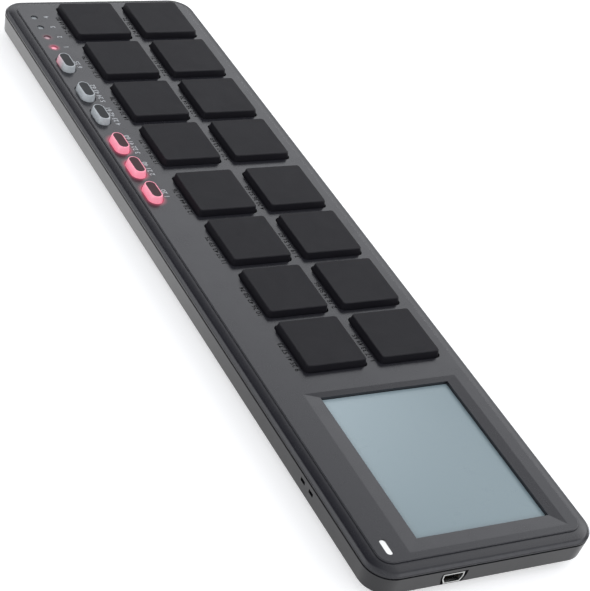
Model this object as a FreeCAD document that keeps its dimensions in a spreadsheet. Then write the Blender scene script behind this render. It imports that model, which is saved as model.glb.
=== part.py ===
"""A slim USB pad controller that lies flat on its rubber feet.

+X runs along its length to the player's right, +Y points away from the player and +Z is up.
The origin is on the table under the middle of the case. All lengths are in millimetres.
"""

import FreeCAD, Part
import math
import os
import re
import Sketcher

# How many there are of what repeats
PAD_COLUMNS = 8
PAD_ROWS = 2
BUTTONS = 6
LENSES = 4
CROSS_RIBS = 8

# Pad columns after which something stands, counted from the near end and from 0
SCREW_COLUMNS = (3, 6)
REAR_POST_COLUMNS = (0, 4)
FRONT_POST_COLUMNS = (2, 6)
CHIP_COLUMNS = (1, 5)

# The sizes that can be set by themselves
SIZES = {
    # Case, seen from above
    "case_length": 325.0,
    "case_depth": 83.0,
    "corner_round": 9.0,
    # Case, from the table up
    "foot_proud": 1.0,
    "belly_height": 2.9,
    "belly_inset": 4.6,
    "wall_height": 7.0,
    "wall_lean": 0.8,
    "upper_height": 2.7,
    # Case walls and the joint between the two halves
    "case_wall": 2.0,
    "deck_wall": 2.0,
    "bevel_run": 4.1,
    "bevel_drop": 1.6,
    "edge_bevel": 0.5,
    "lip_width": 1.0,
    "tongue_gap": 0.1,
    "reveal_height": 0.4,
    "reveal_depth": 0.5,
    # Ribs on the floor of the lower case
    "rib_width": 1.2,
    "rib_height": 1.6,
    "rib_end_inset": 14.5,
    "rib_side_inset": 13.5,
    "rib_row_y": 14.0,
    # Rubber pads, which fill the deck between the touch panel's frame and the far end
    "pads_near_gap": 9.7,
    "pads_far_inset": 7.4,
    "pads_front_inset": 9.05,
    "pads_rear_inset": 21.3,
    "pad_column_gap": 4.6,
    "pad_middle_gap": 2.4,
    "pad_row_gap": 5.25,
    "pad_corner": 0.9,
    "pad_rise": 2.4,
    "pad_taper": 0.55,
    "pad_bevel": 0.25,
    "pad_wall": 1.4,
    "pad_clear": 0.35,
    "pad_flange": 1.2,
    "pad_flange_corner": 2.4,
    "pad_flange_thickness": 1.0,
    "pad_nub": 12.0,
    "nub_proud": 0.05,
    "pad_travel": 1.0,
    "cap_clear": 0.2,
    # Buttons
    "button_length": 10.8,
    "button_depth": 5.3,
    "button_rise": 2.4,
    "button_clear": 0.3,
    "button_flange": 0.9,
    "button_flange_thickness": 0.9,
    "button_hollow": 2.2,
    "button_wall": 1.2,
    "button_end_wall": 1.8,
    "button_nub": 2.0,
    "button_travel": 0.6,
    "button_gap": 4.7,
    "button_group_gap": 3.2,
    "button_last_gap": 4.7,
    "button_row_inset": 9.4,
    # Indicator windows
    "lens_radius": 1.4,
    "lens_gap": 4.6,
    "lens_end_inset": 14.1,
    "lens_button_gap": 5.9,
    "lens_flange": 0.7,
    "lens_flange_thickness": 0.6,
    "lens_sink": 0.5,
    "power_length": 6.5,
    "power_depth": 2.2,
    "power_end_inset": 11.0,
    "power_rear_inset": 9.0,
    # Touch panel and the sloped frame round it
    "touch_length": 65.0,
    "touch_near_inset": 12.4,
    "touch_front_inset": 12.9,
    "touch_rear_inset": 20.7,
    "touch_gap": 0.15,
    "touch_thickness": 0.6,
    "frame_near": 5.3,
    "frame_far": 2.3,
    "frame_front": 4.1,
    "frame_rear": 5.4,
    "frame_drop": 0.5,
    # Circuit boards
    "pad_board_thickness": 1.6,
    "pad_board_margin": 1.9,
    "board_inset": 3.4,
    "board_corner": 6.0,
    "sensor_thickness": 0.5,
    "sensor_margin": 0.4,
    "stop_gap": 0.05,
    "control_board_thickness": 1.2,
    "control_board_length": 59.1,
    "control_board_front_inset": 21.5,
    "control_board_rear_inset": 7.0,
    "touch_board_thickness": 1.2,
    "touch_board_margin": 2.6,
    "connector_length": 14.0,
    "connector_depth": 4.0,
    "connector_height": 0.9,
    # Parts on the boards
    "switch_side": 5.2,
    "switch_height": 1.0,
    "chip_side": 7.0,
    "chip_height": 1.1,
    "led_length": 1.6,
    "led_depth": 2.0,
    "led_height": 0.8,
    "led_offset": 4.1,
    # Ribbon cable between the boards
    "cable_width": 12.0,
    "cable_thickness": 0.3,
    "cable_lap": 6.0,
    "cable_clear": 1.0,
    # Screws, bosses and the columns that meet them
    "case_screw_radius": 1.2,
    "case_head_radius": 2.2,
    "case_head_height": 1.6,
    "screw_bite": 2.6,
    "screw_grip": 2.4,
    "boss_radius": 2.4,
    "boss_clear": 0.4,
    "column_width": 8.0,
    "post_width": 3.4,
    "post_space": 1.2,
    "pillar_width": 4.0,
    "snug_fit": 0.05,
    "screw_spare": 0.6,
    "hole_clear": 0.2,
    # Places of screws, posts and pillars, from the near end and from the front or rear side
    "corner_screw_end_inset": 10.0,
    "corner_screw_front_inset": 7.5,
    "rear_screw_end_inset": 38.5,
    "rear_screw_rear_inset": 12.0,
    "post_near_inset": 19.0,
    "post_far_inset": 58.5,
    "pillar_near_inset": 8.5,
    "pillar_far_inset": 56.5,
    "pillar_board_inset": 6.0,
    # Rubber feet
    "foot_radius": 4.5,
    "foot_inset_x": 24.5,
    "foot_inset_y": 12.5,
    # USB socket and its opening
    "port_y": 12.1,
    "port_width": 7.7,
    "port_height": 3.9,
    "port_slant": 0.9,
    "port_side_height": 1.9,
    "port_length": 9.2,
    "port_sink": 0.6,
    "port_shell": 0.4,
    "port_gap": 0.15,
    "port_recess_depth": 1.3,
    "port_recess_side": 0.85,
    "port_recess_base": 0.35,
    "tongue_width": 4.9,
    "tongue_thickness": 1.2,
    "tongue_root": 2.6,
    "tongue_short": 1.6,
    # Strap slots in the rear wall
    "strap_end_inset": 44.55,
    "strap_z": 8.15,
    "strap_slot_length": 2.7,
    "strap_slot_height": 1.4,
    "strap_bar_width": 2.8,
    "strap_bar_thickness": 1.6,
    "strap_channel": 1.6,
    "strap_backing": 1.0,
}

# The levels, angles and lines that follow from them
PLACES = {
    # From the table up
    "base_edge_z": "foot_proud + belly_height",
    "seam_z": "base_edge_z + wall_height",
    "deck_z": "seam_z + upper_height",
    "deck_under_z": "deck_z - deck_wall",
    "floor_z": "foot_proud + case_wall",
    "cap_top_z": "deck_under_z - cap_clear",
    "pad_flange_z": "cap_top_z - pad_flange_thickness",
    "button_flange_z": "cap_top_z - button_flange_thickness",
    "sensor_top_z": "pad_flange_z - nub_proud - pad_travel - stop_gap",
    "pad_board_top_z": "sensor_top_z - sensor_thickness",
    "pad_board_z": "pad_board_top_z - pad_board_thickness",
    "switch_top_z": "pad_board_top_z + switch_height",
    "touch_board_z": "deck_under_z - touch_board_thickness",
    "control_board_top_z": "touch_board_z - connector_height",
    "control_board_z": "control_board_top_z - control_board_thickness",
    "port_z": "control_board_z - port_height / 2",
    # Along the case, from the near end on
    "near_x": "-case_length / 2",
    "far_x": "case_length / 2",
    "touch_near_x": "near_x + touch_near_inset",
    "touch_far_x": "touch_near_x + touch_length",
    "touch_x": "(touch_near_x + touch_far_x) / 2",
    "pads_near_x": "touch_far_x + frame_far + pads_near_gap",
    "pads_far_x": "far_x - pads_far_inset",
    "pads_span": "pads_far_x - pads_near_x",
    "pad_length": f"(pads_span - {PAD_COLUMNS - 1} * pad_column_gap - pad_middle_gap) / {PAD_COLUMNS}",
    "pad_column_step": "pad_length + pad_column_gap",
    "lens_step": "2 * lens_radius + lens_gap",
    "lens_first_x": f"far_x - lens_end_inset - {LENSES - 1} * lens_step",
    "button_step": "button_length + button_gap",
    "button_row_span": f"{BUTTONS - 1} * button_step + button_group_gap + button_last_gap",
    "button_last_x": "lens_first_x - lens_radius - lens_button_gap - button_length / 2",
    "button_first_x": "button_last_x - button_row_span",
    "power_x": "near_x + power_end_inset",
    "strap_x": "near_x + strap_end_inset",
    "control_board_near_x": "near_x + board_inset",
    "control_board_far_x": "control_board_near_x + control_board_length",
    "pad_board_near_x": "pads_near_x - pad_board_margin",
    "rib_reach": "case_length / 2 - rib_end_inset",
    "cross_rib_step": f"2 * rib_reach / {CROSS_RIBS}",
    "cross_rib_first_x": "cross_rib_step / 2 - rib_reach",
    # Across the case, from the front to the rear
    "front_y": "-case_depth / 2",
    "rear_y": "case_depth / 2",
    "touch_front_y": "front_y + touch_front_inset",
    "touch_rear_y": "rear_y - touch_rear_inset",
    "touch_y": "(touch_front_y + touch_rear_y) / 2",
    "pads_front_y": "front_y + pads_front_inset",
    "pads_rear_y": "rear_y - pads_rear_inset",
    "pad_mid_y": "(pads_front_y + pads_rear_y) / 2",
    "pad_depth": "(pads_rear_y - pads_front_y - pad_row_gap) / 2",
    "pad_row_step": "pad_depth + pad_row_gap",
    "button_row_y": "rear_y - button_row_inset",
    "power_y": "rear_y - power_rear_inset",
    "rear_screw_y": "rear_y - rear_screw_rear_inset",
    "rear_post_y": "pads_rear_y + pad_flange + post_space + post_width / 2",
    "front_post_y": "pads_front_y - pad_flange - post_space - post_width / 2",
    "control_board_front_y": "front_y + control_board_front_inset",
    "control_board_rear_y": "rear_y - control_board_rear_inset",
    "pillar_y": "control_board_front_y + pillar_board_inset",
    "cross_rib_reach": "case_depth / 2 - rib_side_inset",
}

document = FreeCAD.newDocument("pad_controller")
sheet = document.addObject("Spreadsheet::Sheet", "Sizes")
cuts = []


def fill_sheet():
    """Write the sizes, and the places worked out from them, with their names as aliases."""
    cells = [(name, str(size)) for name, size in SIZES.items()]
    cells += [(name, "=" + formula) for name, formula in PLACES.items()]
    for row, (name, content) in enumerate(cells, start=1):
        sheet.set(f"A{row}", name)
        sheet.set(f"B{row}", content)
        sheet.setAlias(f"B{row}", name)
    document.recompute()


def on_sheet(expression):
    """Return the expression with every size and place in it pointed at the sheet."""
    def reference(word):
        name = word.group()
        return f"{sheet.Name}.{name}" if name in SIZES or name in PLACES else name
    return re.sub(r"[a-z_][a-z_0-9]*", reference, expression)


def value(expression):
    """Return what the expression is worth now, as a plain number."""
    return float(sheet.evalExpression(on_sheet(expression)))


def bind(item, name, expression):
    """Tie a property of the item to an expression on the sheet."""
    item.setExpression(name, on_sheet(expression))


# Bodies and where they stand


def place(item, x, y, z):
    """Tie the item's placement to the sheet."""
    bind(item, "Placement.Base.x", x)
    bind(item, "Placement.Base.y", y)
    bind(item, "Placement.Base.z", z)


def new_body(name, x="0", y="0", z="0"):
    """Start a body whose own origin stands at x, y, z."""
    body = document.addObject("PartDesign::Body", name)
    body.Label = name
    place(body, x, y, z)
    return body


def new_group(name, z):
    """Start a body that holds several separate solids of one kind."""
    body = new_body(name, z=z)
    body.AllowCompound = True
    return body


def copy_of(form, name, x, y, z):
    """Return a body with the shape of the form, at a place of its own."""
    body = new_body(name, x, y, z)
    clone = body.newObject("PartDesign::FeatureBase", f"{name}_clone")
    clone.BaseFeature = form
    body.Tip = clone
    return body


def origin_feature(body, role):
    """Return the body's own origin plane or axis of that role."""
    return next(item for item in body.Origin.OriginFeatures if item.Role == role)


# Sketches and the outlines drawn in them


def new_sketch(body, name, level="0", plane="XY_Plane"):
    """Start a sketch on a plane of the body, moved along that plane's normal to the level."""
    sketch = body.newObject("Sketcher::SketchObject", name)
    sketch.AttachmentSupport = (origin_feature(body, plane), [""])
    sketch.MapMode = "FlatFace"
    bind(sketch, "AttachmentOffset.Base.z", level)
    return sketch


def constrain(sketch, ties, sizes):
    """Add the ties, then the sizes, each (kind, geometry, expression) and tied to the sheet."""
    constraints = [Sketcher.Constraint(*tie) for tie in ties]
    names = []
    for kind, geometry, expression in sizes:
        constraint = Sketcher.Constraint(kind, *geometry, value(expression))
        constraint.Name = f"size_{sketch.ConstraintCount + len(constraints)}"
        names.append(constraint.Name)
        constraints.append(constraint)
    sketch.addConstraint(constraints)
    for name, (kind, geometry, expression) in zip(names, sizes):
        bind(sketch, f"Constraints.{name}", expression)


def draw_polygon(sketch, points):
    """Draw a closed outline through the points, each an (x, y) pair of expressions."""
    corners = [FreeCAD.Vector(value(x), value(y)) for x, y in points]
    first = sketch.GeometryCount
    count = len(corners)
    lines = [Part.LineSegment(corners[n], corners[(n + 1) % count]) for n in range(count)]
    sketch.addGeometry(lines, False)
    ties = [("Coincident", first + n, 2, first + (n + 1) % count, 1) for n in range(count)]
    sizes = [("DistanceX", (first + n, 1), x) for n, (x, y) in enumerate(points)]
    sizes += [("DistanceY", (first + n, 1), y) for n, (x, y) in enumerate(points)]
    constrain(sketch, ties, sizes)


def draw_rectangle(sketch, left, right, front, rear):
    """Draw a rectangle with sharp corners."""
    draw_polygon(sketch, [(left, front), (right, front), (right, rear), (left, rear)])


def draw_octagon(sketch, half_length, half_depth, corner):
    """Draw a rectangle round the sketch's origin with its corners cut off at 45 degrees."""
    long_x = f"({half_length})"
    short_x = f"({half_length} - {corner})"
    long_y = f"({half_depth})"
    short_y = f"({half_depth} - {corner})"
    draw_polygon(sketch, [
        (f"-{short_x}", f"-{long_y}"), (short_x, f"-{long_y}"),
        (long_x, f"-{short_y}"), (long_x, short_y),
        (short_x, long_y), (f"-{short_x}", long_y),
        (f"-{long_x}", short_y), (f"-{long_x}", f"-{short_y}"),
    ])


def draw_rounded(sketch, left, right, front, rear, corner):
    """Draw a rectangle with four equal round corners."""
    x0, x1, y0, y1, r = (value(item) for item in (left, right, front, rear, corner))
    up = FreeCAD.Vector(0, 0, 1)
    quarter = math.pi / 2
    centres = [(x1 - r, y0 + r), (x1 - r, y1 - r), (x0 + r, y1 - r), (x0 + r, y0 + r)]
    sides = [((x0 + r, y0), (x1 - r, y0)), ((x1, y0 + r), (x1, y1 - r)),
             ((x1 - r, y1), (x0 + r, y1)), ((x0, y1 - r), (x0, y0 + r))]
    first = sketch.GeometryCount
    for n, ((start, end), centre) in enumerate(zip(sides, centres)):
        sketch.addGeometry(Part.LineSegment(FreeCAD.Vector(*start), FreeCAD.Vector(*end)), False)
        circle = Part.Circle(FreeCAD.Vector(*centre), up, r)
        sketch.addGeometry(Part.ArcOfCircle(circle, (n - 1) * quarter, n * quarter), False)
    bottom, right_side, top, left_side = range(first, first + 8, 2)
    ties = [("Tangent", first + n, 2, first + (n + 1) % 8, 1) for n in range(8)]
    ties += [("Horizontal", line) for line in (bottom, top)]
    ties += [("Vertical", line) for line in (right_side, left_side)]
    ties += [("Equal", first + 1, arc) for arc in (first + 3, first + 5, first + 7)]
    constrain(sketch, ties, [
        ("Radius", (first + 1,), corner),
        ("DistanceX", (right_side, 1), right),
        ("DistanceX", (left_side, 1), left),
        ("DistanceY", (top, 1), rear),
        ("DistanceY", (bottom, 1), front),
    ])


def draw_block(sketch, x, y, length, depth):
    """Draw a rectangle round x, y."""
    draw_rectangle(sketch, f"{x} - {length} / 2", f"{x} + {length} / 2",
                   f"{y} - {depth} / 2", f"{y} + {depth} / 2")


def centred(length, depth):
    """Return the four sides of a rectangle round the sketch's origin."""
    return (f"-({length}) / 2", f"({length}) / 2", f"-({depth}) / 2", f"({depth}) / 2")


def draw_case_outline(sketch, inset):
    """Draw the case's outline from above, moved inwards by the inset."""
    sides = centred(f"case_length - 2 * ({inset})", f"case_depth - 2 * ({inset})")
    draw_rounded(sketch, *sides, f"corner_round - ({inset})")


def draw_circle(sketch, x, y, radius):
    """Draw a circle round x, y."""
    index = sketch.GeometryCount
    centre = FreeCAD.Vector(value(x), value(y))
    sketch.addGeometry(Part.Circle(centre, FreeCAD.Vector(0, 0, 1), value(radius)), False)
    constrain(sketch, [], [
        ("DistanceX", (index, 3), x),
        ("DistanceY", (index, 3), y),
        ("Radius", (index,), radius),
    ])


def draw_circles(sketch, places, radius):
    """Draw one circle at each of the places."""
    for x, y in places:
        draw_circle(sketch, x, y, radius)


def draw_squares(sketch, places, width):
    """Draw one square round each of the places."""
    for x, y in places:
        draw_block(sketch, x, y, width, width)


def draw_slot(sketch, x, y, length, depth):
    """Draw a slot with round ends, its middle at x, y."""
    radius = f"({depth}) / 2"
    left = f"{x} - ({length}) / 2 + {radius}"
    right = f"{x} + ({length}) / 2 - {radius}"
    x0, x1, middle, r = (value(item) for item in (left, right, y, radius))
    up = FreeCAD.Vector(0, 0, 1)
    quarter = math.pi / 2
    left_circle = Part.Circle(FreeCAD.Vector(x0, middle), up, r)
    right_circle = Part.Circle(FreeCAD.Vector(x1, middle), up, r)
    bottom = Part.LineSegment(FreeCAD.Vector(x0, middle - r), FreeCAD.Vector(x1, middle - r))
    top = Part.LineSegment(FreeCAD.Vector(x1, middle + r), FreeCAD.Vector(x0, middle + r))
    first = sketch.GeometryCount
    sketch.addGeometry(bottom, False)
    sketch.addGeometry(Part.ArcOfCircle(right_circle, -quarter, quarter), False)
    sketch.addGeometry(top, False)
    sketch.addGeometry(Part.ArcOfCircle(left_circle, quarter, 3 * quarter), False)
    ties = [("Tangent", first + n, 2, first + (n + 1) % 4, 1) for n in range(4)]
    ties.append(("Equal", first + 1, first + 3))
    constrain(sketch, ties, [
        ("Radius", (first + 1,), radius),
        ("DistanceX", (first + 1, 3), right),
        ("DistanceX", (first + 3, 3), left),
        ("DistanceY", (first + 1, 3), y),
        ("DistanceY", (first + 3, 3), y),
    ])


def draw_port(sketch, side, top, base):
    """Draw the socket's outline, wide side up, grown by the given margins."""
    half = f"port_width / 2 + ({side})"
    half_base = f"port_width / 2 - port_slant + ({side})"
    upper = f"port_height / 2 + ({top})"
    knee = "port_height / 2 - port_side_height"
    lower = f"-port_height / 2 - ({base})"
    draw_polygon(sketch, [(f"-({half_base})", lower), (half_base, lower), (half, knee),
                          (half, upper), (f"-({half})", upper), (f"-({half})", knee)])


# Features


def raise_up(body, sketch, height, down=False, name="pad"):
    """Pad the sketch by the height, along its normal or, with down, against it."""
    pad = body.newObject("PartDesign::Pad", f"{body.Label}_{name}")
    pad.Profile = sketch
    pad.Refine = False
    pad.Reversed = down
    bind(pad, "Length", height)
    return pad


def cut_in(body, sketch, depth=None, up=False, name="pocket"):
    """Cut the sketch into the body against its normal, right through unless a depth is given."""
    pocket = body.newObject("PartDesign::Pocket", f"{body.Label}_{name}")
    pocket.Profile = sketch
    pocket.Refine = False
    pocket.Reversed = up
    if depth is None:
        pocket.Type = "ThroughAll"
    else:
        bind(pocket, "Length", depth)
    cuts.append(pocket)
    return pocket


def loft(body, sketches, cutting=False):
    """Join the sketches, from the lowest to the highest, with straight flanks."""
    kind = "SubtractiveLoft" if cutting else "AdditiveLoft"
    feature = body.newObject(f"PartDesign::{kind}", f"{body.Label}_loft")
    feature.Profile = sketches[0]
    feature.Sections = sketches[1:]
    feature.Ruled = True
    feature.Refine = False
    if cutting:
        cuts.append(feature)
    return feature


def edges_at(feature, level):
    """Return the names of the feature's edges that lie flat at the level."""
    near = 1e-6
    names = []
    for number, edge in enumerate(feature.Shape.Edges, start=1):
        box = edge.BoundBox
        if abs(box.ZMin - level) < near and abs(box.ZMax - level) < near:
            names.append(f"Edge{number}")
    return names


def bevel(body, base, level, drop, run):
    """Chamfer the base's flat edges at the level: drop is along its side, run along its top."""
    document.recompute()
    chamfer = body.newObject("PartDesign::Chamfer", f"{body.Label}_bevel")
    chamfer.Base = (base, edges_at(base, value(level)))
    chamfer.ChamferType = "Two distances"
    bind(chamfer, "Size", drop)
    bind(chamfer, "Size2", run)
    return chamfer


def repeat(body, feature, runs):
    """Repeat the feature along the axes; each run is (axis, copies, whole length)."""
    pattern = body.newObject("PartDesign::MultiTransform", f"{body.Label}_pattern")
    pattern.Originals = [feature]
    pattern.Refine = False
    steps = []
    for axis, copies, length in runs:
        step = body.newObject("PartDesign::LinearPattern", f"{body.Label}_row")
        step.Direction = (origin_feature(body, axis), [""])
        step.Occurrences = copies
        bind(step, "Length", length)
        steps.append(step)
    pattern.Transformations = steps
    body.Tip = pattern
    return pattern


# Where the repeated pieces stand


def pad_x(column):
    """Return the middle of a pad column; the second half stands a little further out."""
    half = PAD_COLUMNS // 2
    return f"pads_near_x + pad_length / 2 + {column} * pad_column_step + {column // half} * pad_middle_gap"


def pad_y(row):
    """Return the middle of a pad row: 0 is the front row, 1 the rear."""
    return f"pad_mid_y + {row - 0.5} * pad_row_step"


def between_columns(column):
    """Return the line halfway between a pad column and the next."""
    return f"({pad_x(column)} + {pad_x(column + 1)}) / 2"


def button_x(index):
    """Return the middle of a button: three, two and one, with gaps between the groups."""
    after_group = int(index >= 3)
    after_pair = int(index >= 5)
    return (f"button_first_x + {index} * button_step + {after_group} * button_group_gap"
            f" + {after_pair} * button_last_gap")


def lens_x(index):
    """Return the middle of a round indicator window."""
    return f"lens_first_x + {index} * lens_step"


def lens_places():
    """Return the four round indicator windows, in line with the buttons."""
    return [(lens_x(index), "button_row_y") for index in range(LENSES)]


def control_screw_places():
    """Return the case screws at the control end: one in the front corner, one behind the touch panel."""
    return [("near_x + corner_screw_end_inset", "front_y + corner_screw_front_inset"),
            ("near_x + rear_screw_end_inset", "rear_screw_y")]


def pad_screw_places():
    """Return the case screws that pass through the pad board, between the two rows of pads."""
    return [(between_columns(column), "pad_mid_y") for column in SCREW_COLUMNS]


def screw_levels():
    """Return each set of case screws with the underside of the board at which its columns end."""
    return (("control", control_screw_places(), "control_board_z"),
            ("pad", pad_screw_places(), "pad_board_z"))


def pad_board_posts():
    """Return the posts that press on the pad board, behind and in front of the pads."""
    rear = [(between_columns(column), "rear_post_y") for column in REAR_POST_COLUMNS]
    front = [(between_columns(column), "front_post_y") for column in FRONT_POST_COLUMNS]
    return rear + front


def control_board_posts():
    """Return the posts that press on the control board, one on each side of its screw."""
    return [("near_x + post_near_inset", "rear_screw_y"), ("near_x + post_far_inset", "rear_screw_y")]


def foot_places():
    """Return the feet, one near each corner."""
    x = "(far_x - foot_inset_x)"
    y = "(rear_y - foot_inset_y)"
    return [(f"{side_x} * {x}", f"{side_y} * {y}") for side_x in (-1, 1) for side_y in (-1, 1)]


# The case


def lower_case():
    """Model the tray: belly, leaning walls, seam, columns, ribs, port and strap slots."""
    body = new_body("lower_case", z="foot_proud")
    mould_tray(body)
    mould_seam(body)
    mould_floor(body)
    cut_screw_holes(body)
    cut_port(body)
    mould_strap_slots(body)
    return body


def mould_tray(body):
    """Loft the outside from the bottom face over the base edge to the seam, and hollow it."""
    outside = []
    for name, level, inset in (("bottom", "0", "belly_inset"),
                               ("base_edge", "belly_height", "wall_lean"),
                               ("wall_top", "belly_height + wall_height", "0")):
        outline = new_sketch(body, name, level)
        draw_case_outline(outline, inset)
        outside.append(outline)
    loft(body, outside)
    # The hollow's base edge is half a wall higher than the outside's and its floor a third
    # of a wall further in, which keeps the sloping belly as thick as the walls.
    hollow = []
    for name, level, inset in (("floor", "case_wall", "belly_inset + case_wall / 3"),
                               ("inner_edge", "belly_height + case_wall / 2", "wall_lean + case_wall"),
                               ("rim", "belly_height + wall_height", "case_wall")):
        outline = new_sketch(body, name, level)
        draw_case_outline(outline, inset)
        hollow.append(outline)
    loft(body, hollow, cutting=True)


def mould_seam(body):
    """Add the tongue that enters the upper case and cut the dark reveal outside it."""
    rim = "belly_height + wall_height"
    tongue = new_sketch(body, "tongue", rim)
    draw_case_outline(tongue, "lip_width + tongue_gap")
    draw_case_outline(tongue, "case_wall")
    raise_up(body, tongue, "deck_under_z - seam_z - tongue_gap", name="tongue")
    reveal = new_sketch(body, "reveal", rim)
    draw_case_outline(reveal, "-case_wall")
    draw_case_outline(reveal, "reveal_depth")
    cut_in(body, reveal, "reveal_height", name="reveal")


def mould_floor(body):
    """Add the ribs, the screw columns and the pillars under the control board."""
    long_ribs = new_sketch(body, "long_ribs", "case_wall")
    for row in ("-rib_row_y", "rib_row_y"):
        draw_block(long_ribs, "0", row, "2 * rib_reach", "rib_width")
    raise_up(body, long_ribs, "rib_height", name="long_ribs")
    cross_rib = new_sketch(body, "cross_rib", "case_wall")
    draw_block(cross_rib, "cross_rib_first_x", "0", "rib_width", "2 * cross_rib_reach")
    rib = raise_up(body, cross_rib, "rib_height", name="cross_rib")
    repeat(body, rib, [("X_Axis", CROSS_RIBS, f"{CROSS_RIBS - 1} * cross_rib_step")])
    for name, places, board_z in screw_levels():
        columns = new_sketch(body, f"{name}_columns", "case_wall")
        draw_squares(columns, places, "column_width")
        raise_up(body, columns, f"{board_z} - floor_z", name=f"{name}_columns")
    pillars = new_sketch(body, "pillars", "case_wall")
    pillar_places = [(f"near_x + {inset}", "pillar_y") for inset in ("pillar_near_inset", "pillar_far_inset")]
    draw_squares(pillars, pillar_places, "pillar_width")
    raise_up(body, pillars, "control_board_z - floor_z", name="pillars")


def cut_screw_holes(body):
    """Cut the counterbores and the screw holes from below."""
    for name, places, board_z in screw_levels():
        bores = new_sketch(body, f"{name}_counterbores")
        draw_circles(bores, places, "case_head_radius + hole_clear")
        cut_in(body, bores, f"{board_z} - screw_grip - foot_proud", up=True, name=f"{name}_counterbores")
        holes = new_sketch(body, f"{name}_screw_holes")
        draw_circles(holes, places, "case_screw_radius + hole_clear")
        cut_in(body, holes, f"{board_z} - foot_proud", up=True, name=f"{name}_screw_holes")


def cut_port(body):
    """Sink a margin round the socket into the near end wall and open the wall behind it."""
    recess = ("port_recess_side", "port_recess_side", "port_recess_base")
    opening = ("port_gap", "port_gap", "port_gap")
    for name, depth, margins in (("port_recess", "port_recess_depth", recess),
                                 ("port_opening", "port_recess_depth + 2 * case_wall", opening)):
        sketch = new_sketch(body, name, "near_x", "YZ_Plane")
        bind(sketch, "AttachmentOffset.Base.x", "port_y")
        bind(sketch, "AttachmentOffset.Base.y", "port_z - foot_proud")
        draw_port(sketch, *margins)
        cut_in(body, sketch, depth, up=True, name=name)


def mould_strap_slots(body):
    """Add a closed block inside the rear wall and cut the strap's way in and out behind a bar."""
    inside = "strap_bar_thickness + strap_channel"
    slots_span = "(strap_bar_width + 2 * strap_slot_length)"
    rim = "2 * strap_backing"
    block = strap_sketch(body, "strap_block", f"{inside} + strap_backing")
    draw_rectangle(block, *centred(f"{slots_span} + {rim}", f"strap_slot_height + {rim}"))
    raise_up(body, block, "strap_channel + strap_backing", down=True, name="strap_block")
    slots = strap_sketch(body, "strap_slots", "0")
    for side in ("-1", "1"):
        middle = f"{side} * (strap_bar_width + strap_slot_length) / 2"
        draw_rectangle(slots, f"{middle} - strap_slot_length / 2", f"{middle} + strap_slot_length / 2",
                       "-strap_slot_height / 2", "strap_slot_height / 2")
    cut_in(body, slots, inside, up=True, name="strap_slots")
    channel = strap_sketch(body, "strap_channel", "strap_bar_thickness")
    draw_rectangle(channel, *centred(slots_span, "strap_slot_height"))
    cut_in(body, channel, "strap_channel", up=True, name="strap_channel")


def strap_sketch(body, name, inset):
    """Start a sketch across the strap slots, that far inside the case's rear outline."""
    sketch = new_sketch(body, name, f"{inset} - case_depth / 2", "XZ_Plane")
    bind(sketch, "AttachmentOffset.Base.x", "strap_x")
    bind(sketch, "AttachmentOffset.Base.y", "strap_z - foot_proud")
    return sketch


def upper_case():
    """Model the cover: deck, bevelled rim, bosses, posts and every opening."""
    body = new_body("upper_case", z="seam_z")
    mould_cover(body)
    mould_bosses(body)
    open_deck(body)
    open_touch_frame(body)
    return body


def mould_cover(body):
    """Pad the outline, bevel its rim, round the shoulder and hollow it down to the deck."""
    outline = new_sketch(body, "outline")
    draw_case_outline(outline, "0")
    cover = raise_up(body, outline, "upper_height", name="cover")
    rim = bevel(body, cover, "upper_height", "bevel_drop", "bevel_run")
    side = "upper_height - bevel_drop"
    bevel(body, rim, side, "edge_bevel", "edge_bevel")
    hollow = new_sketch(body, "hollow")
    draw_case_outline(hollow, "lip_width")
    cut_in(body, hollow, "upper_height - deck_wall", up=True, name="hollow")


def mould_bosses(body):
    """Hang the bored screw bosses and the solid board posts under the deck."""
    for name, places, board_z in screw_levels():
        bosses = new_sketch(body, f"{name}_bosses", "deck_under_z - seam_z")
        draw_circles(bosses, places, "boss_radius")
        raise_up(body, bosses, f"deck_under_z - {board_z}", down=True, name=f"{name}_bosses")
        bores = new_sketch(body, f"{name}_bores", f"{board_z} - seam_z")
        draw_circles(bores, places, "case_screw_radius + snug_fit")
        cut_in(body, bores, "screw_bite + screw_spare", up=True, name=f"{name}_bores")
    for name, places, end_z in (("pad_board_posts", pad_board_posts(), "pad_board_top_z"),
                                ("control_board_posts", control_board_posts(), "control_board_top_z")):
        posts = new_sketch(body, name, "deck_under_z - seam_z")
        draw_squares(posts, places, "post_width")
        raise_up(body, posts, f"deck_under_z - {end_z}", down=True, name=name)


def open_deck(body):
    """Open the deck for the pads, the buttons and the indicator windows."""
    pad_hole = new_sketch(body, "pad_hole", "upper_height")
    bind(pad_hole, "AttachmentOffset.Base.x", pad_x(0))
    bind(pad_hole, "AttachmentOffset.Base.y", pad_y(0))
    draw_octagon(pad_hole, "pad_length / 2 + pad_clear", "pad_depth / 2 + pad_clear", "pad_corner")
    hole = cut_in(body, pad_hole, name="pad_hole")
    half = PAD_COLUMNS // 2
    repeat(body, hole, [("X_Axis", half, f"{half - 1} * pad_column_step"),
                        ("X_Axis", 2, f"{half} * pad_column_step + pad_middle_gap"),
                        ("Y_Axis", PAD_ROWS, "pad_row_step")])
    small = new_sketch(body, "button_and_lens_holes", "upper_height")
    for index in range(BUTTONS):
        draw_slot(small, button_x(index), "button_row_y", "button_length + 2 * button_clear",
                  "button_depth + 2 * button_clear")
    draw_circles(small, lens_places(), "lens_radius")
    draw_slot(small, "power_x", "power_y", "power_length", "power_depth")
    cut_in(body, small, name="button_and_lens_holes")


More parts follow.
